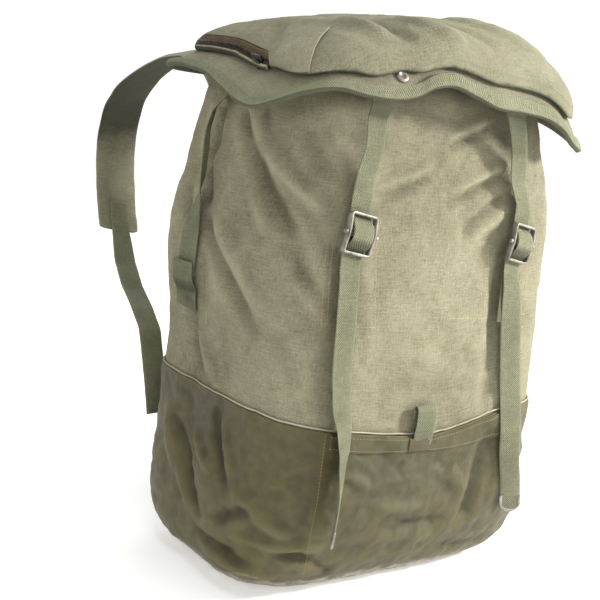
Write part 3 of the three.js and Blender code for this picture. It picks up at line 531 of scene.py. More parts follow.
def curve(table, column):
    """A smooth curve through one column of a table, over its first column."""
    places, values = table[:, 0], table[:, column]
    slopes = np.gradient(values, places)

    def at(place):
        place = np.clip(place, places[0], places[-1])
        row = np.clip(np.searchsorted(places, place, side="right") - 1, 0, len(places) - 2)
        span = places[row + 1] - places[row]
        share = (place - places[row]) / span
        start = (1 + 2 * share) * (1 - share) ** 2 * values[row]
        start += share * (1 - share) ** 2 * span * slopes[row]
        end = share**2 * (3 - 2 * share) * values[row + 1]
        end += share**2 * (share - 1) * span * slopes[row + 1]
        return start + end

    return at


section_width, section_depth, section_square = (curve(SECTIONS, column) for column in (1, 2, 3))
crown_height = curve(LID_CROWN, 1)
lid_drop = curve(LID_RINGS, 1)
edge_height, edge_flare = (curve(LID_EDGE, column) for column in (1, 2))
pocket_curves = [curve(POCKET_PROFILE, column) for column in (1, 2, 3, 4)]
hem_foot = curve(HEM_FOOT, 1)


def degrees_apart(a, b):
    return (a - b + 180) % 360 - 180


def broad_relief(around, height):
    relief = np.zeros(np.broadcast(around, height).shape)
    for place, level, across, along, lean, depth in BROAD_FOLDS:
        aside = np.radians(degrees_apart(around, place)) * FOLD_RADIUS
        above = height - level
        cosine, sine = math.cos(math.radians(lean)), math.sin(math.radians(lean))
        off = (aside * cosine - above * sine) / across
        on = (aside * sine + above * cosine) / along
        relief = relief + depth * np.exp(-(off**2) - on**2)
    return relief


def crease_relief(creases, around, height, radius, rise=1.0):
    """Lines of folds, each with a shallow shoulder on either side."""
    relief = np.zeros(np.broadcast(around, height).shape)
    for start, low, end, high, half, depth in creases:
        x = np.radians(degrees_apart(around, start)) * radius
        y = (height - low) * rise
        line_x = math.radians(degrees_apart(end, start)) * radius
        line_y = (high - low) * rise
        length = math.hypot(line_x, line_y)
        along = (x * line_x + y * line_y) / length
        across = (x * line_y - y * line_x) / length
        share = np.clip(along / length, 0, 1)
        beyond = along - share * length
        near = (across**2 + beyond**2) / half**2
        fade = 0.35 + 0.65 * np.sin(np.pi * (0.1 + 0.8 * share))
        relief = relief + FOLD_DEPTH * depth * fade * (1 - 0.45 * near) * np.exp(-near)
    return relief


def bag_point(around, height, lift=0.0, creases=()):
    """Points of the bag's surface."""
    around, height = np.broadcast_arrays(np.asarray(around, float), np.asarray(height, float))
    angle = np.radians(around - 90)
    half_width = section_width(height) * BAG_WIDTH / 2 + lift
    half_depth = section_depth(height) * BAG_DEPTH / 2 + lift
    square = section_square(height)
    flat = (np.abs(np.cos(angle)) / half_width) ** square + (np.abs(np.sin(angle)) / half_depth) ** square
    radius = flat ** (-1 / square) + broad_relief(around, height)
    radius = radius + crease_relief(creases, around, height, FOLD_RADIUS)
    gather = smoothstep(height, MOUTH_GATHER_HEIGHT, MOUTH_HEIGHT)
    radius = radius + MOUTH_PLEAT_DEPTH * gather * np.cos(np.radians(around * MOUTH_PLEATS))
    return np.stack([radius * np.cos(angle), radius * np.sin(angle), height], -1)


def seam_sag(around):
    return np.interp(degrees_apart(around, 0), SEAM_SAG[:, 0], SEAM_SAG[:, 1])


def grid_faces(rows, columns, wrap):
    row = np.arange(rows - 1)[:, None]
    column = np.arange(columns if wrap else columns - 1)[None, :]
    following = (column + 1) % columns
    corners = [row * columns + column, row * columns + following]
    corners += [(row + 1) * columns + following, (row + 1) * columns + column]
    return np.stack(corners, -1).reshape(-1, 4)


def end_caps(rows, columns):
    """The two faces that close a tube of rows of points."""
    last = (rows - 1) * columns
    return [list(range(columns))[::-1], [last + column for column in range(columns)]]


def torus_faces(rings, sides):
    """Faces over a grid that closes both ways."""
    faces = []
    for ring in range(rings):
        following = (ring + 1) % rings
        for side in range(sides):
            after = (side + 1) % sides
            first = (ring * sides + side, ring * sides + after)
            faces.append((*first, following * sides + after, following * sides + side))
    return faces


def path_lengths(points):
    """The length of a path up to each of its points."""
    return np.concatenate([[0], np.cumsum(np.linalg.norm(np.diff(points, axis=0), axis=1))])


def new_object(name, points, faces, loop_uv=None):
    """A smooth mesh from points in millimetres, with the weave's directions as its UV map."""
    mesh = bpy.data.meshes.new(name)
    mesh.from_pydata(to_frame(points).tolist(), [], [list(map(int, face)) for face in faces])
    mesh.polygons.foreach_set("use_smooth", np.ones(len(mesh.polygons), bool))
    if loop_uv is not None:
        mesh.uv_layers.new(name="weave").data.foreach_set("uv", np.asarray(loop_uv, np.float32).ravel())
    made = bpy.data.objects.new(name, mesh)
    bpy.context.scene.collection.objects.link(made)
    return made


def grid_object(name, points, uv, wrap=False):
    """A sheet over a grid. uv has one column more than points where the grid wraps round."""
    rows, columns = points.shape[:2]
    row = np.arange(rows - 1)[:, None]
    column = np.arange(columns if wrap else columns - 1)[None, :]
    width = uv.shape[1]
    corners = [row * width + column, row * width + column + 1]
    corners += [(row + 1) * width + column + 1, (row + 1) * width + column]
    loop_uv = uv.reshape(-1, 2)[np.stack(corners, -1).reshape(-1)]
    return new_object(name, points.reshape(-1, 3), grid_faces(rows, columns, wrap), loop_uv)


def settle_mesh(piece):
    """Replaces a piece's mesh by what its modifiers make of it."""
    graph = bpy.context.evaluated_depsgraph_get()
    mesh = bpy.data.meshes.new_from_object(piece.evaluated_get(graph))
    piece.modifiers.clear()
    piece.data = mesh
    return piece


def subdivide(piece, levels=1):
    piece.modifiers.new("Subdivision", "SUBSURF").levels = levels
    return settle_mesh(piece)


def thicken(piece, thickness):
    modifier = piece.modifiers.new("Thickness", "SOLIDIFY")
    modifier.thickness = thickness * MM
    modifier.offset = -1
    modifier.use_even_offset = False
    return settle_mesh(piece)


def coordinates(mesh):
    places = np.empty(len(mesh.vertices) * 3, np.float32)
    mesh.vertices.foreach_get("co", places)
    return places.reshape(-1, 3).astype(float)


def set_coordinates(mesh, places):
    mesh.vertices.foreach_set("co", np.asarray(places, np.float32).ravel())
    mesh.update()


def normals(mesh):
    directions = np.empty(len(mesh.vertices) * 3, np.float32)
    mesh.vertex_normals.foreach_get("vector", directions)
    return directions.reshape(-1, 3).astype(float)


def neighbour_mean(mesh, values, passes):
    edges = np.empty(len(mesh.edges) * 2, np.int32)
    mesh.edges.foreach_get("vertices", edges)
    first, second = edges.reshape(-1, 2).T
    count = np.bincount(edges, minlength=len(values)).astype(float)
    for _ in range(passes):
        total = np.stack([
            np.bincount(first, values[second, axis], len(values))
            + np.bincount(second, values[first, axis], len(values))
            for axis in range(values.shape[1])
        ], -1)
        values = 0.5 * values + 0.5 * total / np.maximum(count, 1)[:, None]
    return values


def mark_relief(piece, passes=24):
    """Keeps how far each point stands above its surroundings, in millimetres, for the wear and for the
    painted shade in the hollows.
    """
    mesh = piece.data
    places = coordinates(mesh)
    raised = ((places - neighbour_mean(mesh, places, passes)) * normals(mesh)).sum(1) / MM
    mesh.attributes.new("relief", "FLOAT", "POINT").data.foreach_set("value", raised.astype(np.float32))


def cloth_noise(places, size, seed, octaves=3):
    """Smooth noise from -1 to 1 whose lumps have a size in millimetres."""
    shift = Vector((seed, seed * 1.7, seed * 0.3))
    scale = 1 / (size * MM)
    return np.array([noise.fractal(Vector(place) * scale + shift, 1.0, 2.0, octaves) for place in places])


def ripple(piece, layers):
    """Pushes points along their normals by layers of noise: size, depth, seed, and whether it creases."""
    mesh = piece.data
    places, directions = coordinates(mesh), normals(mesh)
    push = np.zeros(len(places))
    for size, depth, seed, creased in layers:
        value = cloth_noise(places, size, seed)
        push += depth * (0.35 - np.abs(value) * 1.4 if creased else value)
    set_coordinates(mesh, places + directions * push[:, None] * MM)


def surface_tree(*pieces):
    """A tree for finding the surface of the pieces."""
    vertices, polygons = [], []
    for piece in pieces:
        start = len(vertices)
        vertices += [vertex.co for vertex in piece.data.vertices]
        polygons += [[start + index for index in face.vertices] for face in piece.data.polygons]
    return BVHTree.FromPolygons(vertices, polygons)


def stands_on(tree, point, out, reach=30.0):
    """How far, in millimetres, the surface stands out beyond a point, along a direction."""
    start = Vector(to_frame(point + out * reach))
    hit = tree.ray_cast(start, Vector(-out), 2 * reach * MM)
    return None if hit[3] is None else reach - hit[3] / MM


# Placing things on the front and the sides of the bag

FRONT_AROUNDS = np.linspace(-180, 180, 721)


def front_y(x, height, lift=0.0):
    outline = bag_point(FRONT_AROUNDS, np.full(721, float(height)), lift)
    front = outline[outline[:, 1] < 0]
    front = front[np.argsort(front[:, 0])]
    return float(np.interp(x, front[:, 0], front[:, 1]))


def side_x(y, height, side):
    outline = bag_point(FRONT_AROUNDS, np.full(721, float(height)))
    flank = outline[outline[:, 0] * side > 0]
    flank = flank[np.argsort(flank[:, 1])]
    return float(np.interp(y, flank[:, 1], flank[:, 0]))


def front_frame(x, height, cover=0.0):
    """A point of the front, and the directions across, up and out of it."""
    def surface(px, pz):
        return np.array([px, front_y(px, pz, cover), pz])

    half = WEBBING_WIDTH / 2
    across = unit(surface(x + half, height) - surface(x - half, height))
    up = unit(surface(x, height + 6) - surface(x, height - 6))
    return surface(x, height), across, up, unit(np.cross(across, up))


def strap_frame(x, height, cover=0.0):
    """As front_frame, but faced straight to the front, as a taut strap lies on a rounded bag."""
    place, across, up, out = front_frame(x, height, cover)
    across = unit(across * (1 - STRAP_FACING) + np.array([STRAP_FACING, 0, 0]))
    return place, across, up, unit(np.cross(across, up))


def buckle_frame(strap):
    """The frame at a buckle, turned a little to lie along its strap."""
    place, across, up, out = strap_frame(*strap["buckle"])
    across, out = (turned(side, up, strap["buckle_turn"]) for side in (across, out))
    return place, turned(across, out, -BUCKLE_SLANT), turned(up, out, -BUCKLE_SLANT), out


def side_frame(y, height, side):
    def surface(py, pz):
        return np.array([side_x(py, pz, side), py, pz])

    half = WEBBING_WIDTH / 2
    across = unit(surface(y + half, height) - surface(y - half, height)) * side
    up = unit(surface(y, height + 6) - surface(y, height - 6))
    return surface(y, height), across, up, unit(np.cross(across, up))


def cover_at(height):
    """How far the coated cloth and the band stand out over the bag's surface at a height."""
    coat = COAT_COVER if height < SEAM_HEIGHT + 4 else 0
    hem = HEM_COVER if 150 < height < 180 else 0
    return coat + hem


def turned(vector, axis, degrees):
    return np.array(Matrix.Rotation(math.radians(degrees), 3, Vector(axis)) @ Vector(vector))


# Flat bands

EDGE_WANDER = 0.2


def path_stations(path, across, width):
    """Stations along a path whose band lies square to one direction all the way."""
    stations = []
    for index, middle in enumerate(path):
        along = path[min(len(path) - 1, index + 1)] - path[max(0, index - 1)]
        stations.append((middle, across, unit(np.cross(across, along)), width))
    return stations


def resample(stations, step, passes):
    """Evenly spaced stations along a band, its bends eased by a few passes of averaging."""
    middles = np.array([station[0] for station in stations])
    lengths = path_lengths(middles)
    count = max(3, int(lengths[-1] / step) + 1)
    marks = np.linspace(0, lengths[-1], count)
    columns = [
        np.array([station[key] for station in stations], float).reshape(len(stations), -1)
        for key in range(4)
    ]
    middle, across, out, width = (
        np.stack([np.interp(marks, lengths, column[:, axis]) for axis in range(column.shape[1])], -1)
        for column in columns
    )
    for _ in range(passes):
        for values in (middle, across, out, width):
            values[1:-1] = 0.5 * values[1:-1] + 0.25 * (values[:-2] + values[2:])
    across = unit(across)
    out = unit(out - across * (out * across).sum(1, keepdims=True))
    return marks, middle, across, out, width[:, 0]


def band(name, stations, thickness, step=2.5, passes=3, columns=11, seed=1.0, round_end=0.0):
    """Webbing or a flat strap as one closed mesh, its edges rounded and a little uneven."""
    marks, middle, across, out, width = resample(stations, step, passes)
    shares = np.sin(np.linspace(-90, 90, columns) * math.pi / 180)
    shares = np.sign(shares) * np.abs(shares) ** 1.15
    rows = []
    uv = []
    for index, mark in enumerate(marks):
        left = mark * 0.11 + seed
        narrow = 1.0
        if round_end and marks[-1] - mark < round_end:
            narrow = math.sqrt(max(0.02, 1 - (1 - (marks[-1] - mark) / round_end) ** 2))
        half = width[index] / 2 * narrow
        wander = [EDGE_WANDER * noise.noise(Vector((left, line, seed))) for line in (0.3, 9.3)]
        places = np.where(shares < 0, shares * (half + wander[0]), shares * (half + wander[1]))
        edge = np.sqrt(np.clip(1 - np.abs(shares) ** 10, 0.0, 1)) * 0.72 + 0.28
        for face in (1, -1):
            order = slice(None) if face == 1 else slice(None, None, -1)
            height = face * (thickness / 2) * edge
            ring = middle[index] + across[index] * places[:, None] + out[index] * height[:, None]
            rows.append(ring[order])
            uv.append(np.stack([places, np.full(columns, mark)], -1)[order])
    points = np.array(rows).reshape(len(marks), 2 * columns, 3)
    ring_uv = np.array(uv).reshape(len(marks), 2 * columns, 2)
    ring_uv = np.concatenate([ring_uv, ring_uv[:, :1]], 1)
    faces = grid_faces(len(marks), 2 * columns, True).tolist()
    count = 2 * columns
    first, last = end_caps(len(marks), count)
    row = np.arange(len(marks) - 1)[:, None]
    column = np.arange(count)[None, :]
    wide = count + 1
    corners = [row * wide + column, row * wide + column + 1]
    corners += [(row + 1) * wide + column + 1, (row + 1) * wide + column]
    loop_uv = ring_uv.reshape(-1, 2)[np.stack(corners, -1).reshape(-1)].tolist()
    loop_uv += [ring_uv[0, corner].tolist() for corner in first]
    loop_uv += [ring_uv[-1, corner - last[0]].tolist() for corner in last]
    points, faces = points.reshape(-1, 3), faces + [first, last]
    piece = new_object(name, points, faces, loop_uv)
    face_outwards(piece)
    return piece


def face_outwards(piece):
    """Turns a closed mesh's faces round if they look inwards."""
    mesh = piece.data
    mesh.calc_loop_triangles()
    corners = np.empty(len(mesh.loop_triangles) * 3, np.int32)
    mesh.loop_triangles.foreach_get("vertices", corners)
    a, b, c = (coordinates(mesh)[corners.reshape(-1, 3)[:, key]] for key in range(3))
    if (a * np.cross(b, c)).sum() < 0:
        mesh.flip_normals()


def push_clear(stations, tree, thickness, clearance):
    """Moves a band's stations out where the cloth under it would come through."""
    needs = []
    for middle, across, out, width in stations:
        places = [middle + across * width * share for share in (-0.5, -0.25, 0, 0.25, 0.5)]
        found = [stands_on(tree, place, out) for place in places]
        found = [value for value in found if value is not None]
        needs.append(max(0.0, (max(found) if found else -10.0) + thickness / 2 + clearance))
    eased = [max(needs[max(0, k - 1):k + 2]) for k in range(len(needs))]
    return [
        (middle + out * need, across, out, width)
        for (middle, across, out, width), need in zip(stations, eased)
    ]


def closed_cord(name, path, radius, sides, squash):
    """A cord through points that closes on itself, with its surface marked by turns and length."""
    path = np.asarray(path, float)
    along = unit(np.roll(path, -1, 0) - np.roll(path, 1, 0))
    side = unit(np.cross(along, [0.0, 0.0, 1.0]) + np.array([1e-6, 0, 0]))
    upward = np.cross(side, along)
    lengths = path_lengths(path)
    lengths = np.append(lengths, lengths[-1] + 3)
    turn = np.linspace(0, 2 * math.pi, sides, endpoint=False)[None, :, None]
    ring = side[:, None, :] * np.cos(turn) * squash + upward[:, None, :] * np.sin(turn)
    points = path[:, None, :] + radius * ring
    loop_uv = []
    for start, end in zip(lengths[:-1], lengths[1:]):
        for corner in range(sides):
            loop_uv += [(corner, start), (corner + 1, start), (corner + 1, end), (corner, end)]
    piece = new_object(name, points.reshape(-1, 3), torus_faces(len(path), sides), loop_uv)
    face_outwards(piece)
    return piece


def lathe(name, profile, origin, across, up, out, sides=28):
    """A turned piece: rows of radius and lift, standing on a point along a direction."""
    turn = np.linspace(0, 2 * math.pi, sides, endpoint=False)
    ring = np.cos(turn)[:, None] * across + np.sin(turn)[:, None] * up
    points = np.array([origin + ring * radius + out * lift for radius, lift in profile])
    faces = grid_faces(len(profile), sides, True).tolist() + end_caps(len(profile), sides)
    piece = new_object(name, points.reshape(-1, 3), faces)
    face_outwards(piece)
    return piece


class Stitches:
    """Rows of thread gathered into one mesh."""

    def __init__(self, name, radius=STITCH_RADIUS):
        self.name, self.radius = name, radius
        self.points, self.faces = [], []

    def add(self, start, end, out):
        """One stitch that dips into the cloth at both ends."""
        along = unit(end - start)
        aside = np.cross(along, out)
        first = len(self.points)
        length = np.linalg.norm(end - start)
        for share, size, lift in STITCH_RINGS:
            middle = start + along * length * share + out * lift * self.radius
            for turn in range(6):
                angle = turn * math.pi / 3
                spoke = aside * math.cos(angle) + out * math.sin(angle)
                self.points.append(middle + self.radius * size * spoke)
        for ring in range(4):
            for turn in range(6):
                following = (turn + 1) % 6
                a, b = first + ring * 6, first + (ring + 1) * 6
                self.faces.append((a + turn, b + turn, b + following, a + following))
        self.faces.append([first + turn for turn in range(6)])
        self.faces.append([first + 24 + 5 - turn for turn in range(6)])

    def row(self, path, outs, pitch=3.2, share=0.72):
        """Stitches along a path, given its outward directions."""
        path, outs = np.asarray(path, float), np.asarray(outs, float)
        lengths = path_lengths(path)
        for mark in np.arange(0, lengths[-1] - pitch * share, pitch):
            start, end, out = (
                np.array([np.interp(place, lengths, values[:, axis]) for axis in range(3)])
                for place, values in ((mark, path), (mark + pitch * share, path), (mark, outs))
            )
            self.add(start, end, unit(out))

    def build(self):
        piece = new_object(self.name, np.array(self.points), self.faces)
        face_outwards(piece)
        return piece


def put(piece, material, slot, *nodes, wear_and_crease_shade=True):
    """The last steps of every piece: material, body and the nodes that it stands for. The slot is not used.
    """
    piece.data.materials.clear()
    piece.data.materials.append(material)
    # The relief drives the worn, faded folds and the painted crease shade in the materials.
    if wear_and_crease_shade:
        mark_relief(piece)
    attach(piece, BODY)
    if nodes:
        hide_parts(*nodes)
    return piece


# Materials

def node(tree, kind, settings=(), **inputs):
    """A shader node. Inputs are sockets or values, by name with spaces as underscores, or by in0, in1."""
    made = tree.nodes.new(kind)
    for key, value in dict(settings).items():
        setattr(made, key, value)
    for key, value in inputs.items():
        numbered = key[:2] == "in" and key[2:].isdigit()
        socket = made.inputs[int(key[2:]) if numbered else key.replace("_", " ")]
        if isinstance(value, bpy.types.NodeSocket):
            tree.links.new(value, socket)
        else:
            socket.default_value = value
    return made


def calc(tree, operation, first, second=0.0, third=0.0):
    made = node(tree, "ShaderNodeMath", {"operation": operation}, in0=first, in1=second, in2=third)
    return made.outputs[0]


def weighed_sum(tree, *pairs):
    """The sum of values, each times its weight."""
    total = None
    for value, weight in pairs:
        part = value if weight == 1 else calc(tree, "MULTIPLY", value, weight)
        total = part if total is None else calc(tree, "ADD", total, part)
    return total


def ramp(tree, value, low, high, start=0.0, end=1.0):
    made = node(tree, "ShaderNodeMapRange", {"clamp": True}, Value=value)
    made.inputs["From Min"].default_value = low
    made.inputs["From Max"].default_value = high
    made.inputs["To Min"].default_value = start
    made.inputs["To Max"].default_value = end
    return made.outputs[0]


def blend_colour(tree, factor, first, second):
    made = node(tree, "ShaderNodeMix", {"data_type": "RGBA"})
    for socket, value in ((made.inputs[0], factor), (made.inputs[6], first), (made.inputs[7], second)):
        if isinstance(value, bpy.types.NodeSocket):
            tree.links.new(value, socket)
        elif isinstance(value, tuple):
            socket.default_value = (*value, 1)
        else:
            socket.default_value = value
    return made.outputs[2]


def lumps(tree, vector, scale, detail=3.0, roughness=0.55):
    made = node(tree, "ShaderNodeTexNoise", Vector=vector, Scale=scale, Detail=detail, Roughness=roughness)
    return made.outputs["Fac"]


def crinkles(tree, place, scale, depth):
    """Sharp ridges between smooth hollows, to be added to a height."""
    slope = calc(tree, "ABSOLUTE", calc(tree, "SUBTRACT", lumps(tree, place, scale, 2.0, 0.45), 0.5))
    return calc(tree, "MULTIPLY", slope, -depth)


def linear(red, green, blue):
    """A linear colour from the screen's 0 to 255."""
    def one(value):
        value /= 255
        return value / 12.92 if value <= 0.04045 else ((value + 0.055) / 1.055) ** 2.4

    return one(red), one(green), one(blue)


def stretched(tree, vector, x, y):
    made = node(tree, "ShaderNodeMapping", Vector=vector)
    made.inputs["Scale"].default_value = (x, y, 1)
    return made.outputs[0]


def cloth_material(
    name, dark, light, thread, weave, roughness, sheen, bump,
    fade=0.5, stain=0.3, stain_colour=None, uneven=2.2, under=0.0, crumple=0.0,
):
    """Woven cloth. Thread is the pitch across and along in millimetres. Weave is how deep the painted shade
    in the gaps between the threads shows, fade how much the raised folds are lightened as faded wear and
    the hollows darkened as painted crease shade, uneven how far the threads wander, under how much
    painted shade darkens the faces that look down, and crumple how sharp small creases are."""
    material = bpy.data.materials.new(name)
    material.use_nodes = True
    tree = material.node_tree
    shader = tree.nodes["Principled BSDF"]
    uv = node(tree, "ShaderNodeUVMap", {"uv_map": "weave"}).outputs[0]
    place = node(tree, "ShaderNodeTexCoord").outputs["Object"]
    bend = lumps(tree, uv, 0.06, 2.0)
    parts = node(tree, "ShaderNodeSeparateXYZ", Vector=uv)
    shake = lumps(tree, uv, 0.35, 1.0)
    across = weighed_sum(tree, (parts.outputs[0], 1), (bend, 3.0), (shake, uneven))
    along = weighed_sum(tree, (parts.outputs[1], 1), (bend, 2.0), (shake, -uneven))
    warp = calc(tree, "SINE", calc(tree, "MULTIPLY", across, 2 * math.pi / thread[0]))
    weft = calc(tree, "SINE", calc(tree, "MULTIPLY", along, 2 * math.pi / thread[1]))
    checks = calc(tree, "MULTIPLY", warp, weft)
    warp_slub = lumps(tree, stretched(tree, uv, 0.6, 0.11), 1.0, 2.0, 0.7)
    weft_slub = lumps(tree, stretched(tree, uv, 0.07, 0.6), 1.0, 2.0, 0.7)
    slub = calc(tree, "SUBTRACT", calc(tree, "ADD", warp_slub, weft_slub), 1.0)
    grain = lumps(tree, uv, 0.55, 3.0, 0.8)
    broad = lumps(tree, place, 7.0, 4.0, 0.6)
    patchy = lumps(tree, place, 26.0, 4.0, 0.65)
    # The relief lightens raised folds as faded wear and darkens the hollows as painted crease shade.
    raised = node(tree, "ShaderNodeAttribute", {"attribute_name": "relief"}).outputs["Fac"]
    tone = weighed_sum(tree, (broad, 1.1), (patchy, 0.8), (slub, 0.8), (raised, fade), (grain, 0.9))
    share = ramp(tree, tone, 0.85, 1.85)
    colour = blend_colour(tree, share, dark, light)
    if stain_colour:
        spots = ramp(tree, lumps(tree, place, 13.0, 5.0, 0.7), 0.56, 0.72, 0.0, stain)
        colour = blend_colour(tree, spots, colour, stain_colour)
    # Painted shade in the gaps between the threads: the colour goes towards a darker copy of the dark
    # colour there.
    painted_gap_shade = ramp(tree, checks, -1.0, 0.4, weave, 0.0)
    colour = blend_colour(tree, painted_gap_shade, colour, tuple(value * 0.35 for value in dark))
    # Painted shade: faces that look down are blended towards a near-black copy of the dark colour, as if
    # shadowed under the lid, the binding and the straps.
    if under:
        facing = node(tree, "ShaderNodeNewGeometry").outputs["True Normal"]
        level = node(tree, "ShaderNodeSeparateXYZ", Vector=facing).outputs[2]
        painted_underside_shade = ramp(tree, level, -0.4, -0.05, under, 0.0)
        colour = blend_colour(tree, painted_underside_shade, colour, tuple(value * 0.12 for value in dark))
    tree.links.new(colour, shader.inputs["Base Color"])
    height = weighed_sum(tree, (checks, 1), (slub, 2.6), (grain, 1.4))
    if crumple:
        height = calc(tree, "ADD", height, crinkles(tree, place, 12.0, crumple))
    lift = node(tree, "ShaderNodeBump", Height=height, Strength=bump, Distance=0.0006)
    tree.links.new(lift.outputs[0], shader.inputs["Normal"])
    shader.inputs["Roughness"].default_value = roughness
    shader.inputs["Sheen Weight"].default_value = sheen
    shader.inputs["Sheen Roughness"].default_value = 0.5
    shader.inputs["Sheen Tint"].default_value = (*light, 1)
    shader.inputs["Specular IOR Level"].default_value = 0.25
    return material


def coated_material(name, dark, light, worn):
    """Canvas under a rubbery coating: a satin skin with the weave just showing, scuffed where it is
    raised, its hollows a little darker as painted crease shade."""
    material = bpy.data.materials.new(name)
    material.use_nodes = True
    tree = material.node_tree
    shader = tree.nodes["Principled BSDF"]
    uv = node(tree, "ShaderNodeUVMap", {"uv_map": "weave"}).outputs[0]
    place = node(tree, "ShaderNodeTexCoord").outputs["Object"]
    parts = node(tree, "ShaderNodeSeparateXYZ", Vector=uv)
    warp = calc(tree, "SINE", calc(tree, "MULTIPLY", parts.outputs[0], 2 * math.pi / 1.6))
    weft = calc(tree, "SINE", calc(tree, "MULTIPLY", parts.outputs[1], 2 * math.pi / 1.6))
    checks = calc(tree, "MULTIPLY", warp, weft)
    broad = lumps(tree, place, 8.0, 4.0, 0.6)
    patchy = lumps(tree, place, 34.0, 5.0, 0.65)
    fine = lumps(tree, place, 240.0, 4.0, 0.6)
    raised = node(tree, "ShaderNodeAttribute", {"attribute_name": "relief"}).outputs["Fac"]
    edge = node(tree, "ShaderNodeAttribute", {"attribute_name": "edge"}).outputs["Fac"]
    # The relief lightens raised places a little and darkens the hollows as painted crease shade.
    tone = weighed_sum(tree, (broad, 1), (patchy, 0.6), (raised, 0.16), (fine, 0.35))
    share = ramp(tree, tone, 0.62, 1.3)
    colour = blend_colour(tree, share, dark, light)
    scratches = lumps(tree, place, 60.0, 6.0, 0.75)
    scuff = weighed_sum(tree, (edge, 0.55), (raised, 0.1), (scratches, 0.9))
    scuffed = ramp(tree, scuff, 0.86, 1.1, 0.0, 0.75)
    colour = blend_colour(tree, scuffed, colour, worn)
    tree.links.new(colour, shader.inputs["Base Color"])
    gloss = ramp(tree, weighed_sum(tree, (patchy, 1), (scuffed, 0.5)), 0.3, 0.9, 0.42, 0.66)
    tree.links.new(gloss, shader.inputs["Roughness"])
    ridges = crinkles(tree, place, 20.0, 16.0)
    height = weighed_sum(tree, (checks, 0.35), (fine, 1.2), (patchy, 1.5), (ridges, 1))
    lift = node(tree, "ShaderNodeBump", Height=height, Strength=0.55, Distance=0.0008)
    tree.links.new(lift.outputs[0], shader.inputs["Normal"])
    shader.inputs["Specular IOR Level"].default_value = 0.32
    return material


def metal_material(name, dark, light, metallic, rough):
    material = bpy.data.materials.new(name)
    material.use_nodes = True
    tree = material.node_tree
    shader = tree.nodes["Principled BSDF"]
    place = node(tree, "ShaderNodeTexCoord").outputs["Object"]
    broad = lumps(tree, place, 90.0, 4.0, 0.6)
    scratch = lumps(tree, stretched(tree, place, 900.0, 140.0), 1.0, 3.0, 0.7)
    share = ramp(tree, weighed_sum(tree, (broad, 1), (scratch, 0.5)), 0.45, 1.0)
    tree.links.new(blend_colour(tree, share, dark, light), shader.inputs["Base Color"])
    tree.links.new(ramp(tree, share, 0.0, 1.0, rough + 0.12, rough - 0.08), shader.inputs["Roughness"])
    lift = node(tree, "ShaderNodeBump", Height=scratch, Strength=0.15, Distance=0.0003)
    tree.links.new(lift.outputs[0], shader.inputs["Normal"])
    shader.inputs["Metallic"].default_value = metallic
    return material


CANVAS = cloth_material(
    "canvas", linear(110, 106, 85), linear(176, 171, 142), (1.55, 1.45), 0.36, 0.93, 0.12, 0.8,
    fade=0.13, stain=0.4, stain_colour=linear(124, 110, 84), crumple=16.0,
)
# under sets the painted shade on the faces of the lid's cloth that look down.
LID_CANVAS = cloth_material(
    "lid_canvas", linear(110, 108, 86), linear(166, 163, 136), (1.55, 1.45), 0.34, 0.93, 0.12, 0.8,
    fade=0.14, stain=0.35, stain_colour=linear(108, 102, 78), under=0.8, crumple=10.0,
)
# under sets the painted shade on the faces of the webbing that look down.
WEBBING_CLOTH = cloth_material(
    "webbing", linear(98, 99, 75), linear(153, 154, 125), (2.3, 2.2), 0.8, 0.9, 0.12, 1.0,
    fade=0.3, uneven=0.5, under=0.6,
)
TAB_CLOTH = cloth_material(
    "tab_webbing", linear(78, 80, 58), linear(122, 124, 94), (2.3, 2.2), 0.75, 0.9, 0.12, 1.0,
    fade=0.3, uneven=0.5,
)
PIPING_CLOTH = cloth_material(
    "piping", linear(184, 178, 152), linear(226, 219, 196), (2.0, 1.2), 0.4, 0.9, 0.12, 0.8, fade=0.4,
)
ZIP_CLOTH = cloth_material(
    "zip_tape", linear(50, 41, 29), linear(112, 95, 70), (1.4, 1.2), 0.7, 0.9, 0.1, 0.6, fade=0.3,
)
THREAD = cloth_material(
    "thread", linear(150, 141, 112), linear(194, 184, 152), (1.0, 1.0), 0.2, 0.85, 0.1, 0.3, fade=0.2,
)
GREEN_THREAD = cloth_material(
    "green_thread", linear(104, 106, 80), linear(150, 152, 120), (1.0, 1.0), 0.2, 0.85, 0.1, 0.3, fade=0.2,
)
DARK_THREAD = cloth_material(
    "dark_thread", linear(116, 104, 68), linear(158, 146, 104), (1.0, 1.0), 0.2, 0.85, 0.1, 0.3, fade=0.2,
)
COATED = coated_material("coated_canvas", linear(50, 46, 27), linear(89, 83, 50), linear(180, 170, 154))
LOOP_FOOT_COATED = coated_material(
    "coated_patch", linear(56, 49, 31), linear(92, 82, 54), linear(150, 138, 114),
)
STEEL = metal_material("steel", linear(84, 81, 74), linear(158, 153, 142), 0.7, 0.5)
DARK_METAL = metal_material("dark_metal", linear(24, 22, 22), linear(84, 80, 76), 0.8, 0.4)


# The bag

CLOTH_FRAMES = 24


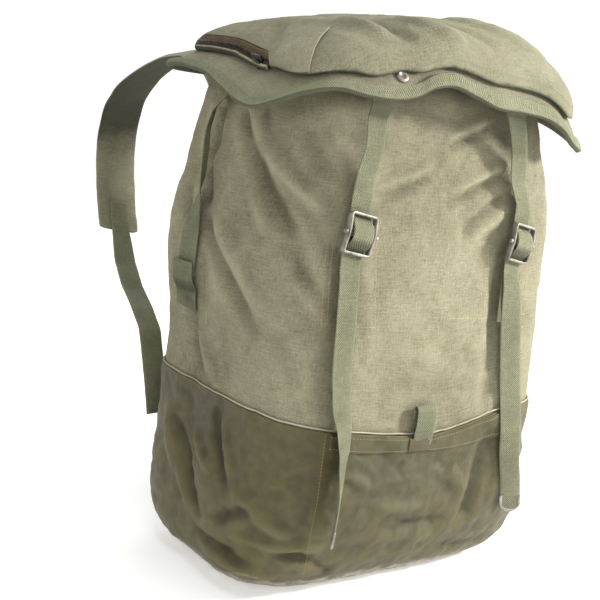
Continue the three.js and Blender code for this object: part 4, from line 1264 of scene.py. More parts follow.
def simulate(piece, rest_scale, pins, bending, most_out, most_in):
    """Lets the cloth buckle: its rest shape is a little larger than the piece, and pinned points stay.
    Points move at most most_out outwards and most_in inwards, in millimetres."""
    mesh = piece.data
    start = coordinates(mesh)
    outward = normals(mesh)
    piece.shape_key_add(name="Basis")
    rest = piece.shape_key_add(name="rest")
    centre = to_frame(np.array([0.0, 0.0, 0.0]))
    larger = centre + (start - centre) * np.array(rest_scale)
    rest.data.foreach_set("co", larger.astype(np.float32).ravel())
    group = piece.vertex_groups.new(name="pins")
    for weight in np.unique(pins):
        if weight > 0:
            group.add(np.nonzero(pins == weight)[0].tolist(), float(weight), "REPLACE")
    modifier = piece.modifiers.new("Cloth", "CLOTH")
    settings = modifier.settings
    settings.quality = 6
    settings.mass = 0.05
    settings.air_damping = 2
    settings.tension_stiffness = settings.compression_stiffness = 12
    settings.shear_stiffness = 6
    settings.bending_stiffness = bending
    settings.tension_damping = settings.compression_damping = settings.shear_damping = 8
    settings.vertex_group_mass = group.name
    settings.pin_stiffness = 1
    settings.rest_shape_key = rest
    settings.effector_weights.gravity = 0
    modifier.collision_settings.use_collision = False
    modifier.point_cache.frame_start = 1
    modifier.point_cache.frame_end = CLOTH_FRAMES
    scene = bpy.context.scene
    for number in range(1, CLOTH_FRAMES + 1):
        scene.frame_set(number)
    graph = bpy.context.evaluated_depsgraph_get()
    result = piece.evaluated_get(graph).to_mesh()
    places = coordinates(result)
    piece.evaluated_get(graph).to_mesh_clear()
    piece.modifiers.clear()
    piece.shape_key_clear()
    piece.vertex_groups.clear()
    scene.frame_set(1)
    moved = places - start
    along = (moved * outward).sum(1, keepdims=True) / MM
    limited = np.where(along > 0, most_out * np.tanh(along / most_out), most_in * np.tanh(along / most_in))
    aside = moved - outward * along * MM
    set_coordinates(mesh, start + aside + outward * limited * MM)
    print(piece.name, "moved", round(float(along.min()), 2), "to", round(float(along.max()), 2), "mm")


UPPER_COLUMNS, UPPER_ROWS = 184, 64
LOWER_COLUMNS, LOWER_ROWS = 184, 40


def bag_grid(heights, columns, lift, creases):
    arounds = np.linspace(-180, 180, columns, endpoint=False)
    points = bag_point(arounds[None, :], heights[:, None], lift, creases)
    girth = np.linalg.norm(np.roll(points[0], -1, 0) - points[0], axis=1)
    u = np.concatenate([[0], np.cumsum(girth)])
    uv = np.stack(np.broadcast_arrays(u[None, :], heights[:, None]), -1)
    return arounds, points, uv


def upper_bag():
    heights = np.linspace(UPPER_FOOT, MOUTH_HEIGHT, UPPER_ROWS)
    arounds, points, uv = bag_grid(heights, UPPER_COLUMNS, -0.3, UPPER_CREASES)
    points[..., 2] -= seam_sag(arounds) * (1 - smoothstep(heights, 184, 330))[:, None]
    piece = grid_object("bag_upper_cloth", points, uv, wrap=True)
    pins = np.zeros((UPPER_ROWS, UPPER_COLUMNS))
    pins[heights < SEAM_HEIGHT + 6] = 1
    pins[heights > 488] = 1
    simulate(piece, (1.02, 1.02, 1.008), pins.ravel(), 0.4, 1.8, 4.0)
    subdivide(piece)
    ripple(piece, [(34, 0.8, 3.1, False), (13, 0.4, 7.7, False), (38, 1.1, 5.2, True)])
    return piece


def vertical_seam_at(height):
    rows = sorted((level, around) for around, level in VERTICAL_SEAM)
    return np.interp(height, [level for level, around in rows], [around for level, around in rows])


def lower_bag():
    heights = np.concatenate([[0, 1.5, 4.5], np.linspace(9, SEAM_HEIGHT, LOWER_ROWS)])
    arounds, points, uv = bag_grid(heights, LOWER_COLUMNS, LAP_LIFT, LOWER_CREASES)
    points[..., 2] -= seam_sag(arounds) * smoothstep(heights, 40, SEAM_HEIGHT)[:, None]
    piece = grid_object("bag_lower_cloth", points, uv, wrap=True)
    pins = np.zeros((len(heights), LOWER_COLUMNS))
    pins[heights < 6] = 1
    pins[heights > SEAM_HEIGHT - 3] = 1
    simulate(piece, (1.02, 1.02, 1.03), pins.ravel(), 0.3, 2.0, 4.0)
    subdivide(piece)
    ripple(piece, [(30, 0.9, 11.3, False), (13, 0.5, 2.9, False), (28, 1.5, 8.4, True)])
    mesh = piece.data
    places = coordinates(mesh) / MM + ORIGIN
    around = degrees_apart(np.degrees(np.arctan2(places[:, 1], places[:, 0])) + 90, 0)
    lap = smoothstep(around - vertical_seam_at(places[:, 2]), -0.35, 0.35) * (around < 60)
    lap = lap * smoothstep(places[:, 2], 14, 24)
    flat = 1 - smoothstep(places[:, 2], 0.2, 3)
    places += normals(mesh) * (lap * VERTICAL_SEAM_STEP * smoothstep(-around, -50, -20))[:, None]
    places[:, 2] = np.where(flat > 0.5, np.maximum(places[:, 2], 0.0), np.maximum(places[:, 2], 0.3))
    set_coordinates(mesh, to_frame(places))
    edge = 1 - smoothstep(places[:, 2], 4, 34)
    mesh.attributes.new("edge", "FLOAT", "POINT").data.foreach_set("value", edge.astype(np.float32))
    return piece


def bag_floor(lower):
    """The flat bottom panel, sewn in just inside the edge."""
    arounds = np.linspace(-180, 180, LOWER_COLUMNS, endpoint=False)
    rim = bag_point(arounds, np.zeros(LOWER_COLUMNS), LAP_LIFT - 0.4)
    shares = np.linspace(0.02, 1, 26)
    points = np.array([rim * [share, share, 0] + [0, 0, 1.6] for share in shares])
    uv = np.concatenate([points, points[:, :1]], 1)[..., :2]
    piece = grid_object("bag_floor_cloth", points, uv, wrap=True)
    piece.data.flip_normals()
    return thicken(piece, 1.2)


upper = upper_bag()
lower = lower_bag()
bag_tree = surface_tree(upper, lower)


def on_cloth(around, height, lift=0.0):
    """A point of the finished cloth and its outward direction."""
    guess = bag_point(around, height, LAP_LIFT if height < SEAM_HEIGHT else 0.0)
    angle = math.radians(around - 90)
    radial = np.array([math.cos(angle), math.sin(angle), 0.0])
    far = Vector(to_frame(guess + radial * 30))
    place, direction, _, _ = bag_tree.ray_cast(far, Vector(-radial))
    if place is None:
        return guess, radial
    out = np.array(direction)
    out = out if out @ radial > 0 else -out
    return np.array(place) / MM + ORIGIN + out * lift, out


def on_front(x, height, lift=0.0):
    """A point of the finished cloth on the front, by its place across the bag."""
    far = Vector(to_frame(np.array([x, front_y(x, height) - 40, height])))
    place, direction, _, _ = bag_tree.ray_cast(far, Vector((0, 1, 0)))
    out = np.array(direction)
    out = out if out[1] < 0 else -out
    return np.array(place) / MM + ORIGIN + out * lift, out


# The seam's piping, the band and the loop

def seam_piping():
    arounds = np.linspace(-180, 180, 400, endpoint=False)
    path = []
    for around in arounds:
        place, out = on_cloth(around, SEAM_HEIGHT + 2.2 - float(seam_sag(around)), 0.0)
        waver = 0.5 * noise.noise(Vector((around * 0.11, 3.0, 0.0)))
        path.append(place + out * 1.7 + np.array([0, 0, waver - 0.6]))
    return closed_cord("seam_piping_cord", path, 0.8, sides=10, squash=0.9)


def projected_band(name, columns, rows, place, thickness):
    """A patch of cloth over points that place(column, row) gives, both from 0 to 1, with their outs."""
    points, outs = np.empty((rows, columns, 3)), np.empty((rows, columns, 3))
    for row in range(rows):
        for column in range(columns):
            points[row, column], outs[row, column] = place(column / (columns - 1), row / (rows - 1))
    for _ in range(2):
        points[1:-1, 1:-1] = 0.5 * points[1:-1, 1:-1] + 0.125 * (
            points[:-2, 1:-1] + points[2:, 1:-1] + points[1:-1, :-2] + points[1:-1, 2:]
        )
    u = np.linalg.norm(points[0, -1] - points[0, 0])
    v = np.linalg.norm(points[-1, 0] - points[0, 0])
    uv = np.stack(np.meshgrid(np.linspace(0, u, columns), np.linspace(0, v, rows)), -1)
    piece = grid_object(name, points, uv)
    modifier = piece.modifiers.new("Thickness", "SOLIDIFY")
    modifier.thickness = thickness * MM
    modifier.offset = -1
    bevel = piece.modifiers.new("Edge", "BEVEL")
    bevel.width = thickness * 0.4 * MM
    bevel.segments = 2
    bevel.limit_method = "ANGLE"
    bevel.angle_limit = math.radians(60)
    return settle_mesh(piece), points, outs


def front_hem():
    def place(column, row):
        x = HEM_LEFT + (HEM_RIGHT - HEM_LEFT) * column
        top = HEM_TOP - seam_sag(math.degrees(math.atan2(x, -front_y(x, HEM_TOP))))
        height = hem_foot(x) + (top - hem_foot(x)) * row
        pucker = 0.35 * noise.noise(Vector((x * 0.16, height * 0.1, 2.0)))
        return on_front(x, float(height), HEM_REST + HEM_THICK + pucker)

    return projected_band("front_hem_cloth", 90, 9, place, HEM_THICK)


def loop_foot():
    left, right, low, high = LOOP_FOOT_PATCH

    def place(column, row):
        x, height = left + (right - left) * column, low + (high - low) * row
        return on_front(x, height, HEM_REST + HEM_THICK + 1.1)

    return projected_band("loop_foot_cloth", 14, 10, place, 1.0)[0]


def front_loop():
    path = []
    for above, lift in LOOP_PATH:
        origin, across, up, out = front_frame(LOOP_X, SEAM_HEIGHT + above)
        path.append(origin + out * lift)
    across = front_frame(LOOP_X, SEAM_HEIGHT)[1]
    stations = path_stations(path, across, LOOP_WIDTH)
    return band("front_loop_webbing", stations, WEBBING, step=1.2, seed=5.0)


# The lid

def lid_place(around, reach):
    """Points of the lid panel's middle surface, reach being the share of the way out to its edge."""
    around = degrees_apart(np.asarray(around, float), 0)
    around, reach = np.broadcast_arrays(around, np.asarray(reach, float))
    angle = np.radians(around - 90)
    flare = edge_flare(around) * smoothstep(reach, LID_FLARE_REACH, 1)
    flat = (np.abs(np.cos(angle)) / (LID_WIDTH / 2)) ** LID_SQUARE
    flat = flat + (np.abs(np.sin(angle)) / (LID_DEPTH / 2)) ** LID_SQUARE
    radius = flat ** (-1 / LID_SQUARE) * reach + flare
    x = LID_CENTRE[0] + radius * np.cos(angle)
    y = LID_CENTRE[1] + radius * np.sin(angle)
    crown = crown_height(x)
    drop = lid_drop(reach)
    return np.stack([x, y, crown + (edge_height(around) - crown) * drop], -1)


def lid_normal(around, reach):
    around, reach = np.broadcast_arrays(np.asarray(around, float), np.asarray(reach, float))
    step = 0.02
    outer = np.clip(reach + step, 2 * step, 1)
    along = lid_place(around, outer) - lid_place(around, outer - 2 * step)
    far = np.maximum(reach, step)
    return unit(np.cross(along, lid_place(around + 2, far) - lid_place(around - 2, far)))


def lid_point(around, reach, lift):
    return lid_place(around, reach) + lid_normal(around, reach) * np.asarray(lift)[..., None]


def square_grid(columns, rows):
    """A grid over the lid without a pole: around and share of the way out at each of its points."""
    def spread(count):
        even = np.linspace(-1, 1, count)
        return 0.45 * even + 0.55 * np.sin(even * math.pi / 2)

    u, v = np.meshgrid(spread(columns), spread(rows))
    share = np.maximum(np.abs(u), np.abs(v))
    safe = np.maximum(share, 1e-6)
    around = np.degrees(np.arctan2(v / safe * LID_DEPTH, u / safe * LID_WIDTH)) + 90
    return degrees_apart(around, 0), share


def zip_share(around, reach=ZIP_REACH):
    """1 where the pocket's edge is left open for the zip, and 0 elsewhere."""
    y = lid_place(around, np.full(np.shape(around), reach))[..., 1]
    inside = smoothstep(y, ZIP_FRONT - 4, ZIP_FRONT + 2) * (1 - smoothstep(y, ZIP_BACK - 4, ZIP_BACK + 4))
    return inside * (degrees_apart(around, 0) < 0)


def pocket_surface(around, share, extra=0.0):
    """Points of the pocket's outer face, share being the way from its middle to its turned edge."""
    zipped = zip_share(around)
    reach, lift, zip_reach, zip_lift = (value(share) for value in pocket_curves)
    reach = reach + (zip_reach - reach) * zipped
    lift = lift + (zip_lift - lift) * zipped
    forward = smoothstep(around, -68, -54) * (1 - smoothstep(around, 46, 64))
    forward = forward * (1 - SNAP_NOTCH * np.exp(-((around - SNAP_AROUND) / 6) ** 2))
    reach = reach + POCKET_REACH_MORE * forward * smoothstep(share, 0.45, 0.97)
    wrinkles = crease_relief(POCKET_WRINKLES, around, reach, 110, rise=LID_WIDTH / 2)
    lift = lift + wrinkles * smoothstep(lift, 5, 15) + extra
    return lid_point(around, reach, lift)


def lid_uv(points):
    """Distances over the cloth from its middle row and column, so that the weave runs straight."""
    maps = []
    for axis in (1, 0):
        steps = np.linalg.norm(np.diff(points, axis=axis), axis=2)
        lengths = np.concatenate([np.zeros_like(np.take(steps, [0], axis)), np.cumsum(steps, axis)], axis)
        maps.append(lengths - np.take(lengths, [points.shape[axis] // 2], axis))
    return np.stack(maps, -1)


def lid_panel():
    around, share = square_grid(110, 84)
    points = lid_point(around, share, np.full(share.shape, LID_CLOTH / 2))
    piece = grid_object("lid_panel_cloth", points, lid_uv(points))
    subdivide(piece)
    ripple(piece, [(24, 0.4, 4.4, False)])
    return thicken(piece, LID_CLOTH)


def lid_pocket():
    around, share = square_grid(120, 96)
    points = pocket_surface(around, share, 1.0)
    piece = grid_object("lid_pocket_cloth", points, lid_uv(points))
    pins = np.where(share > 0.9, 1.0, 0.0)
    simulate(piece, (1.02, 1.02, 1.02), pins.ravel(), 0.3, 1.5, 3.0)
    subdivide(piece)
    ripple(piece, [(30, 0.7, 6.1, False), (12, 0.3, 9.9, False), (24, 0.5, 1.3, True)])
    return thicken(piece, 1.4)


def binding_top(around):
    """The reach at which the binding's upper edge lies."""
    reaches = np.linspace(0.86, 1, 60)
    line = lid_place(np.full(60, float(around)), reaches)
    width = np.linalg.norm(line - line[-1], axis=1)
    wanted = BINDING_WIDTH[0] + (BINDING_WIDTH[1] - BINDING_WIDTH[0]) * smoothstep(around, -56, -24)
    return float(np.interp(wanted - 2, width[::-1], reaches[::-1]))


def lid_binding():
    """Webbing folded over the lid's edge, puckered by its stitches."""
    arounds = np.linspace(-180, 180, 520, endpoint=False)
    near = LID_CLOTH / 2 + 0.5
    far = near + BINDING
    rings = []
    for around in arounds:
        waver = noise.noise(Vector((around * 0.12, 1.0, 5.0)))
        pucker = 0.35 * noise.noise(Vector((around * 0.5, 4.0, 5.0))) + 0.2
        top = binding_top(around) + 0.003 * waver
        edge, above = lid_place(around, 1.0), lid_place(around, top)
        down = unit(edge - above)
        out = lid_normal(around, 1.0)
        height = np.linalg.norm(edge - above)
        ring = []
        for share in np.linspace(0, 1, 7):
            reach = top + (1 - top) * share
            bulge = pucker + 0.5 * math.sin(math.pi * share)
            ring.append(lid_point(around, reach, far + bulge))
        for angle in (50, 20, 0, -20, -50):
            radians = math.radians(angle)
            below = down * (0.8 + math.cos(radians) * BINDING)
            ring.append(edge + below + out * far * math.sin(radians) / math.sin(math.radians(60)))
        for share in np.linspace(1, 0, 7):
            ring.append(lid_point(around, top + (1 - top) * share, -far))
        for share in np.linspace(0, 1, 3):
            ring.append(lid_point(around, top + (1 - top) * share, -near))
        ring.append(edge + down * 0.6)
        for share in np.linspace(1, 0, 3):
            ring.append(lid_point(around, top + (1 - top) * share, near))
        rings.append(ring)
    points = np.array(rings)
    lengths = path_lengths(points[:, 3])
    lengths = np.append(lengths, lengths[-1] + 3)
    around_ring = np.append(path_lengths(points[0]), 60)
    loop_uv = []
    for start, end in zip(lengths[:-1], lengths[1:]):
        for a, b in zip(around_ring[:-1], around_ring[1:]):
            loop_uv += [(a, start), (b, start), (b, end), (a, end)]
    faces = torus_faces(len(arounds), points.shape[1])
    piece = new_object("lid_binding_webbing", points.reshape(-1, 3), faces, loop_uv)
    face_outwards(piece)
    return piece


def zip_arounds(count):
    """Places round the lid between the two ends of the zip."""
    candidates = np.linspace(-130, -50, 801)
    y = lid_place(candidates, np.full(801, ZIP_REACH))[:, 1]
    order = np.argsort(y)
    return np.interp(np.linspace(ZIP_FRONT, ZIP_BACK, count), y[order], candidates[order])


def zip_tape():
    arounds = zip_arounds(60)
    lifts = np.linspace(ZIP_FOOT, ZIP_HEAD, 9)
    bulge = np.sin(np.linspace(0, math.pi, 9)) * 0.004
    reaches = np.linspace(ZIP_FOOT_REACH, ZIP_HEAD_REACH, 9)
    points = np.array([
        [lid_point(around, reach + extra, lift) for around in arounds]
        for lift, extra, reach in zip(lifts, bulge, reaches)
    ])
    length = np.linalg.norm(points[0, -1] - points[0, 0])
    uv = np.stack(np.meshgrid(np.linspace(0, length, 60), lifts), -1)
    piece = grid_object("zip_tape_cloth", points, uv)
    thicken(piece, ZIP_TAPE)
    return piece


def zip_hem():
    """The turned edge of the lid's cloth that the zip stands in."""
    arounds = zip_arounds(70)
    section = [
        (0.006, 0.6), (0.012, 3.2), (0.012, 6.2), (0.009, 7.0), (0.004, 6.8), (0.002, 5.6), (0.002, 1.0),
    ]
    rings = []
    for index, around in enumerate(arounds):
        waver = 0.5 * noise.noise(Vector((index * 0.21, 8.0, 1.0)))
        rings.append([lid_point(around, ZIP_FOOT_REACH + reach, lift + waver) for reach, lift in section])
    points = np.array(rings)
    count = len(section)
    faces = grid_faces(len(arounds), count, True).tolist() + end_caps(len(arounds), count)
    lengths = np.linspace(0, 132, len(arounds))
    flat = points.reshape(-1, 3)
    corners = [corner for face in faces for corner in face]
    loop_uv = [(float(flat[corner, 2]), float(lengths[corner // count])) for corner in corners]
    piece = new_object("zip_hem_cloth", flat, faces, loop_uv)
    face_outwards(piece)
    return piece


def boxes_object(name, boxes, bevel):
    """One mesh of small boxes, each from its middle, its three directions and its three sizes."""
    points, faces = [], []
    signs = [(x, y, z) for z in (-1, 1) for y in (-1, 1) for x in (-1, 1)]
    sides = [(0, 2, 3, 1), (4, 5, 7, 6), (0, 1, 5, 4), (2, 6, 7, 3), (0, 4, 6, 2), (1, 3, 7, 5)]
    for middle, directions, sizes in boxes:
        first = len(points)
        for sign in signs:
            points.append(middle + sum(d * s * k / 2 for d, s, k in zip(directions, sizes, sign)))
        faces += [[first + corner for corner in side] for side in sides]
    piece = new_object(name, np.array(points), faces)
    face_outwards(piece)
    modifier = piece.modifiers.new("Bevel", "BEVEL")
    modifier.width = bevel * MM
    modifier.segments = 2
    return settle_mesh(piece)


def zip_frames(count):
    arounds = zip_arounds(count)
    frames = []
    for around in arounds:
        place = lid_point(around, (ZIP_HEAD_REACH + ZIP_FOOT_REACH) / 2 + 0.009, ZIP_LINE)
        up = lid_normal(around, ZIP_REACH)
        along = unit(lid_place(around + 1, ZIP_REACH) - lid_place(around - 1, ZIP_REACH))
        frames.append((place, along, up, unit(np.cross(along, up))))
    return frames


def zip_teeth():
    boxes = []
    for index, (place, along, up, out) in enumerate(zip_frames(64)):
        side = 1 if index % 2 else -1
        boxes.append((place + up * side * 0.9, (along, up, out), (1.5, 3.0, 1.5)))
    return boxes_object("zip_teeth", boxes, 0.25)


def zip_slider():
    frames = zip_frames(40)
    place, along, up, out = frames[4]
    middle = place + out * 1.4
    leaning = (unit(along - up * 0.4), unit(up + along * 0.4), out)
    boxes = [
        (middle + out * 0.6, (along, up, out), (14, 10, 1.6)),
        (middle - out * 1.3, (along, up, out), (12, 8, 1.4)),
        (middle - out * 0.4 + along * 4.0, (along, up, out), (3, 2.4, 2.4)),
        (middle + out * 2.2, (along, up, out), (7, 2.8, 2.0)),
        (middle + out * 3.0 - up * 6 + along * 1.5, leaning, (6, 14, 1.3)),
    ]
    return boxes_object("zip_slider_metal", boxes, 0.45)


def corner_patch():
    """The doubled corner of the pocket, running over its edge down to the lid."""
    def place(column, row):
        around = -67.0 + 12.0 * column
        share = 0.70 + 0.265 * row
        here = pocket_surface(np.array(around), np.array(share), 1.0)
        right = pocket_surface(np.array(around + 0.8), np.array(share), 1.0)
        below = pocket_surface(np.array(around), np.array(min(1.0, share + 0.012)), 1.0)
        above = pocket_surface(np.array(around), np.array(share - 0.012), 1.0)
        out = unit(np.cross(below - above, right - here))
        if out[2] < -0.5:
            out = -out
        return here + out * 1.9, out

    return projected_band("corner_patch_cloth", 26, 30, place, 1.1)


# The lid straps and the buckles

def strap_stations(strap):
    stations = []
    under = LID_CLOTH / 2 + 0.5 + BINDING + WEBBING / 2 + strap["lid_gap"] + 0.8
    around = strap["lid_around"]
    for reach in (0.9, 0.96, 1.0):
        middle = lid_point(around, reach, -under)
        across = unit(lid_place(around + 3, reach) - lid_place(around - 3, reach))
        stations.append((middle, across, lid_normal(around, reach), WEBBING_WIDTH))
    for height, x, lift, twist in strap["top"]:
        origin, across, up, out = strap_frame(x, height)
        aside, facing = turned(across, up, twist), turned(out, up, twist)
        stations.append((origin + out * lift, aside, facing, WEBBING_WIDTH))
    origin, across, up, out = buckle_frame(strap)
    threaded = [origin + up * above + out * lift for above, lift in THREADING]
    for middle, aside, facing, width in path_stations(threaded, across, WEBBING_WIDTH):
        stations.append((middle, aside, -facing, width))
    for height, x, lift, twist in strap["tail"]:
        origin, across, up, out = strap_frame(x, height, cover_at(height))
        aside, facing = turned(across, up, twist), turned(out, up, twist)
        stations.append((origin + out * lift, aside, facing, WEBBING_WIDTH))
    last, before = stations[-1], stations[-2]
    down = unit(last[0] - before[0])
    stations.append((last[0] + down * TIP_LENGTH * 0.92, last[1], last[2], WEBBING_WIDTH))
    return stations


def strap_tip(name, stations):
    """A metal rim folded round the rounded end of a tail."""
    end, before = stations[-1], stations[-2]
    down = unit(end[0] - before[0])
    across, out = end[1], end[2]
    foot = end[0] + down * 0.8
    half = WEBBING_WIDTH / 2 + 0.2
    path = []
    straight = TIP_LENGTH - half * 0.8
    for side in (-1, 1):
        line = [
            foot - down * (half * 0.8 + straight * share) + across * side * half
            for share in np.linspace(1, 0, 6)
        ]
        turn = [
            foot - down * half * 0.8
            + across * side * half * math.cos(angle)
            + down * half * 0.8 * math.sin(angle)
            for angle in np.linspace(0.12, math.pi / 2, 10)
        ]
        path += line + turn if side == -1 else (line + turn[:-1])[::-1]
    path = np.array(path)
    count = len(path)
    along = unit(np.vstack([path[1:], path[-1:]]) - np.vstack([path[:1], path[:-1]]))
    inward = unit(np.cross(along, out))
    centre = foot - down * TIP_LENGTH / 2
    inward = np.where(((centre - path) * inward).sum(1, keepdims=True) > 0, inward, -inward)
    section = [
        (-0.7, 0.7), (-0.3, 1.35), (2.3, 1.5), (2.6, 1.1),
        (2.6, -1.1), (2.3, -1.5), (-0.3, -1.35), (-0.7, -0.7),
    ]
    rings = np.stack([path + inward * deep + out * lift for deep, lift in section], 1)
    sides = len(section)
    faces = grid_faces(count, sides, True).tolist() + end_caps(count, sides)
    piece = new_object(name, rings.reshape(-1, 3), faces)
    face_outwards(piece)
    subdivide(piece)
    return piece


def buckle(name, strap):
    """A steel strip bent into a frame, its lower half tipped towards the bag."""
    origin, across, up, out = buckle_frame(strap)
    wide, tall = BUCKLE_WIDTH / 2, BUCKLE_HEIGHT / 2
    corner = BUCKLE_CORNER
    outline = []
    for side, end, start in ((1, -1, -90), (1, 1, 0), (-1, 1, 90), (-1, -1, 180)):
        for turn in np.linspace(0, 90, 7):
            angle = math.radians(start + turn)
            x = side * (wide - corner) + corner * math.cos(angle)
            outline.append((x, end * (tall - corner) + corner * math.sin(angle)))
        if side == end:
            outline += [(side * x, end * tall) for x in (10, 5, 0, -5, -10)]
        else:
            outline += [(side * wide, side * y) for y in (-12, -6, -2, 2, 6, 12)]
    outline = np.array(outline)
    direction = unit(np.roll(outline, -1, 0) - np.roll(outline, 1, 0))
    inward = np.stack([-direction[:, 1], direction[:, 0]], -1)
    bend = math.tan(math.radians(BUCKLE_BEND))
    wall, deep, ease = BUCKLE_WALL, BUCKLE_DEPTH, 0.5
    section = [
        (0, ease), (0, deep - ease), (ease, deep), (wall - ease, deep),
        (wall, deep - ease), (wall, ease), (wall - ease, 0), (ease, 0),
    ]
    rings = []
    for (x, y), (nx, ny) in zip(outline, inward):
        ring = []
        for inset, lift in section:
            px, py = x + nx * inset, y + ny * inset
            tip = math.log1p(math.exp(-py * 1.2)) / 1.2 * bend
            ring.append(origin + across * px + up * py + out * (BUCKLE_STAND + lift + tip))
        rings.append(ring)
    faces = torus_faces(len(outline), len(section))
    piece = new_object(name, np.array(rings).reshape(-1, 3), faces)
    face_outwards(piece)
    return piece


def buckle_bar(name, strap):
    origin, across, up, out = buckle_frame(strap)
    half = BUCKLE_WIDTH / 2 + 0.4
    profile = []
    for side in (-1, 1):
        end = [
            (0.6, half + BAR_NUB_LENGTH), (BAR_NUB_RADIUS - 0.5, half + BAR_NUB_LENGTH - 0.1),
            (BAR_NUB_RADIUS, half + BAR_NUB_LENGTH - 0.7), (BAR_NUB_RADIUS, half + 0.5),
            (BAR_NUB_RADIUS - 0.4, half), (BAR_RADIUS, half - 0.1), (BAR_RADIUS, half - 3),
        ]
        rows = [(radius, side * along) for radius, along in end]
        profile += rows if side == -1 else rows[::-1]
    middle = origin + out * BAR_STAND
    return lathe(name, profile, middle, up, out, across, sides=20)


def buckle_tab(name, strap):
    x, height = strap["buckle"]
    origin, across, up, out = buckle_frame(strap)
    sewn = []
    for above in TAB_SEWN:
        aside = x + above * strap["tab_lean"]
        place = on_front(aside, height + above)[0]
        base = front_frame(aside, height + above)
        needed = max(0.0, float((place - base[0]) @ base[3]))
        sewn.append(base[0] + base[3] * (max(TAB_REST, needed + 0.5) + TAB_THICK / 2))
    hook = BAR_RADIUS + HOOK_GAP + TAB_THICK / 2
    turn = [
        origin + up * math.cos(angle) * hook + out * (BAR_STAND + math.sin(angle) * hook)
        for angle in map(math.radians, (-75, -45, -15, 15, 45, 75, 105, 135, 165, 190))
    ]
    rise = origin + up * TAB_RISE + out * (BAR_STAND - hook - TAB_RISE_DROP)
    stations = path_stations([*sewn, rise, *turn], across, TAB_WIDTH)
    return band(name, stations, TAB_THICK, step=1.2, passes=1, seed=9.0)


# The sides and the shoulders

def side_stations(rows, side):
    stations = []
    for height, y, off, width, turn in rows:
        origin, across, up, out = side_frame(y, height, side)
        stand = SIDE_REST + (off - SIDE_REST) * SIDE_STAND[side]
        spin = turn * SIDE_STAND[side] * side
        stations.append((origin + out * stand, turned(across, up, spin), turned(out, up, spin), width))
    return stations


def side_patch(name, side):
    def place(column, row):
        edge = 2 * column - 1
        slant = (1 - row) * edge * SIDE_PATCH_SLANT
        y = SIDE_PATCH_Y + edge * SIDE_PATCH_WIDTH / 2
        height = SIDE_PATCH_FOOT + (SIDE_PATCH_TOP - SIDE_PATCH_FOOT) * row + slant
        origin, across, up, out = side_frame(y, height, side)
        surface = stands_on(bag_tree, origin, out) or 0.0
        covered = 3.6 * smoothstep(np.array(height), 262.0, 276.0)
        return origin + out * (max(surface, -2.5) + 2.2 + float(covered)), out

    piece = projected_band(name, 16, 26, place, 1.4)[0]
    if side == -1:
        piece.data.flip_normals()
    face_outwards(piece)
    return piece


def shoulder_stations(rows, side, width, tilt):
    places = np.array([(side * x, y, height) for x, y, height in rows], float)
    stations = []
    for index, middle in enumerate(places):
        along = unit(places[min(len(places) - 1, index + 1)] - places[max(0, index - 1)])
        level = unit(np.array([1.0, 0, 0]) - along * along[0])
        leaving = float(smoothstep(np.array(middle[1]), 130.0, 170.0))
        across = turned(level, along, tilt * side * leaving)
        stations.append((middle, across, unit(np.cross(across, along)), width))
    return stations


def shoulder_webbing(name, side, strap):
    rows = shoulder_stations(LOWER_WEBBING, side, WEBBING_WIDTH, 0)
    under = SHOULDER_THICK / 2 + 0.3 + WEBBING / 2
    sewn = [(middle - out * under, across, out, WEBBING_WIDTH) for middle, across, out, width in strap[-2:]]
    return band(name, [*sewn, *rows], WEBBING, seed=13.0 + side)


# Everything is made and put in place

piping = seam_piping()
hem, hem_points, hem_outs = front_hem()
foot_patch = loop_foot()
loop = front_loop()
floor_panel = bag_floor(lower)
panel = lid_panel()
pocket = lid_pocket()
binding = lid_binding()
tape = zip_tape()
zip_fold = zip_hem()
teeth = zip_teeth()
slider = zip_slider()
corner, corner_points, corner_outs = corner_patch()

put(thicken(upper, CLOTH), CANVAS, "canvas", "bag_upper")
put(thicken(lower, COATED_CLOTH), COATED, "coated_canvas", "bag_lower")
put(floor_panel, COATED, "coated_canvas")
put(piping, PIPING_CLOTH, "piping", "seam_piping", wear_and_crease_shade=False)
put(hem, COATED, "coated_canvas", "front_hem")
put(foot_patch, LOOP_FOOT_COATED, "coated_canvas")
put(loop, WEBBING_CLOTH, "webbing", "front_loop")
put(panel, LID_CANVAS, "lid_canvas", "lid_panel")
put(pocket, LID_CANVAS, "lid_canvas", "lid_pocket")
put(binding, WEBBING_CLOTH, "webbing", "lid_binding")
put(tape, ZIP_CLOTH, "zip_tape", "zip_tape")
put(zip_fold, LID_CANVAS, "lid_canvas")
put(teeth, DARK_METAL, "dark_metal", wear_and_crease_shade=False)
put(slider, DARK_METAL, "dark_metal", "zip_slider", wear_and_crease_shade=False)
put(corner, LID_CANVAS, "lid_canvas", "corner_patch")

snap_out = lid_normal(SNAP_AROUND, SNAP_REACH)
snap_across = unit(lid_place(SNAP_AROUND + 3, SNAP_REACH) - lid_place(SNAP_AROUND - 3, SNAP_REACH))
snap = lathe(
    "lid_snap_metal",
    [(0.6, 0.8), (2.6, 0.8), (3.0, 1.8), (4.0, 2.1), (5.4, 1.8), (6.3, 1.0), (6.4, 0.4), (6.0, 0.1)],
    lid_point(SNAP_AROUND, SNAP_REACH, LID_CLOTH / 2 + 0.3),
    snap_across, np.cross(snap_out, snap_across), snap_out,
)
put(snap, STEEL, "steel", "lid_snap", wear_and_crease_shade=False)

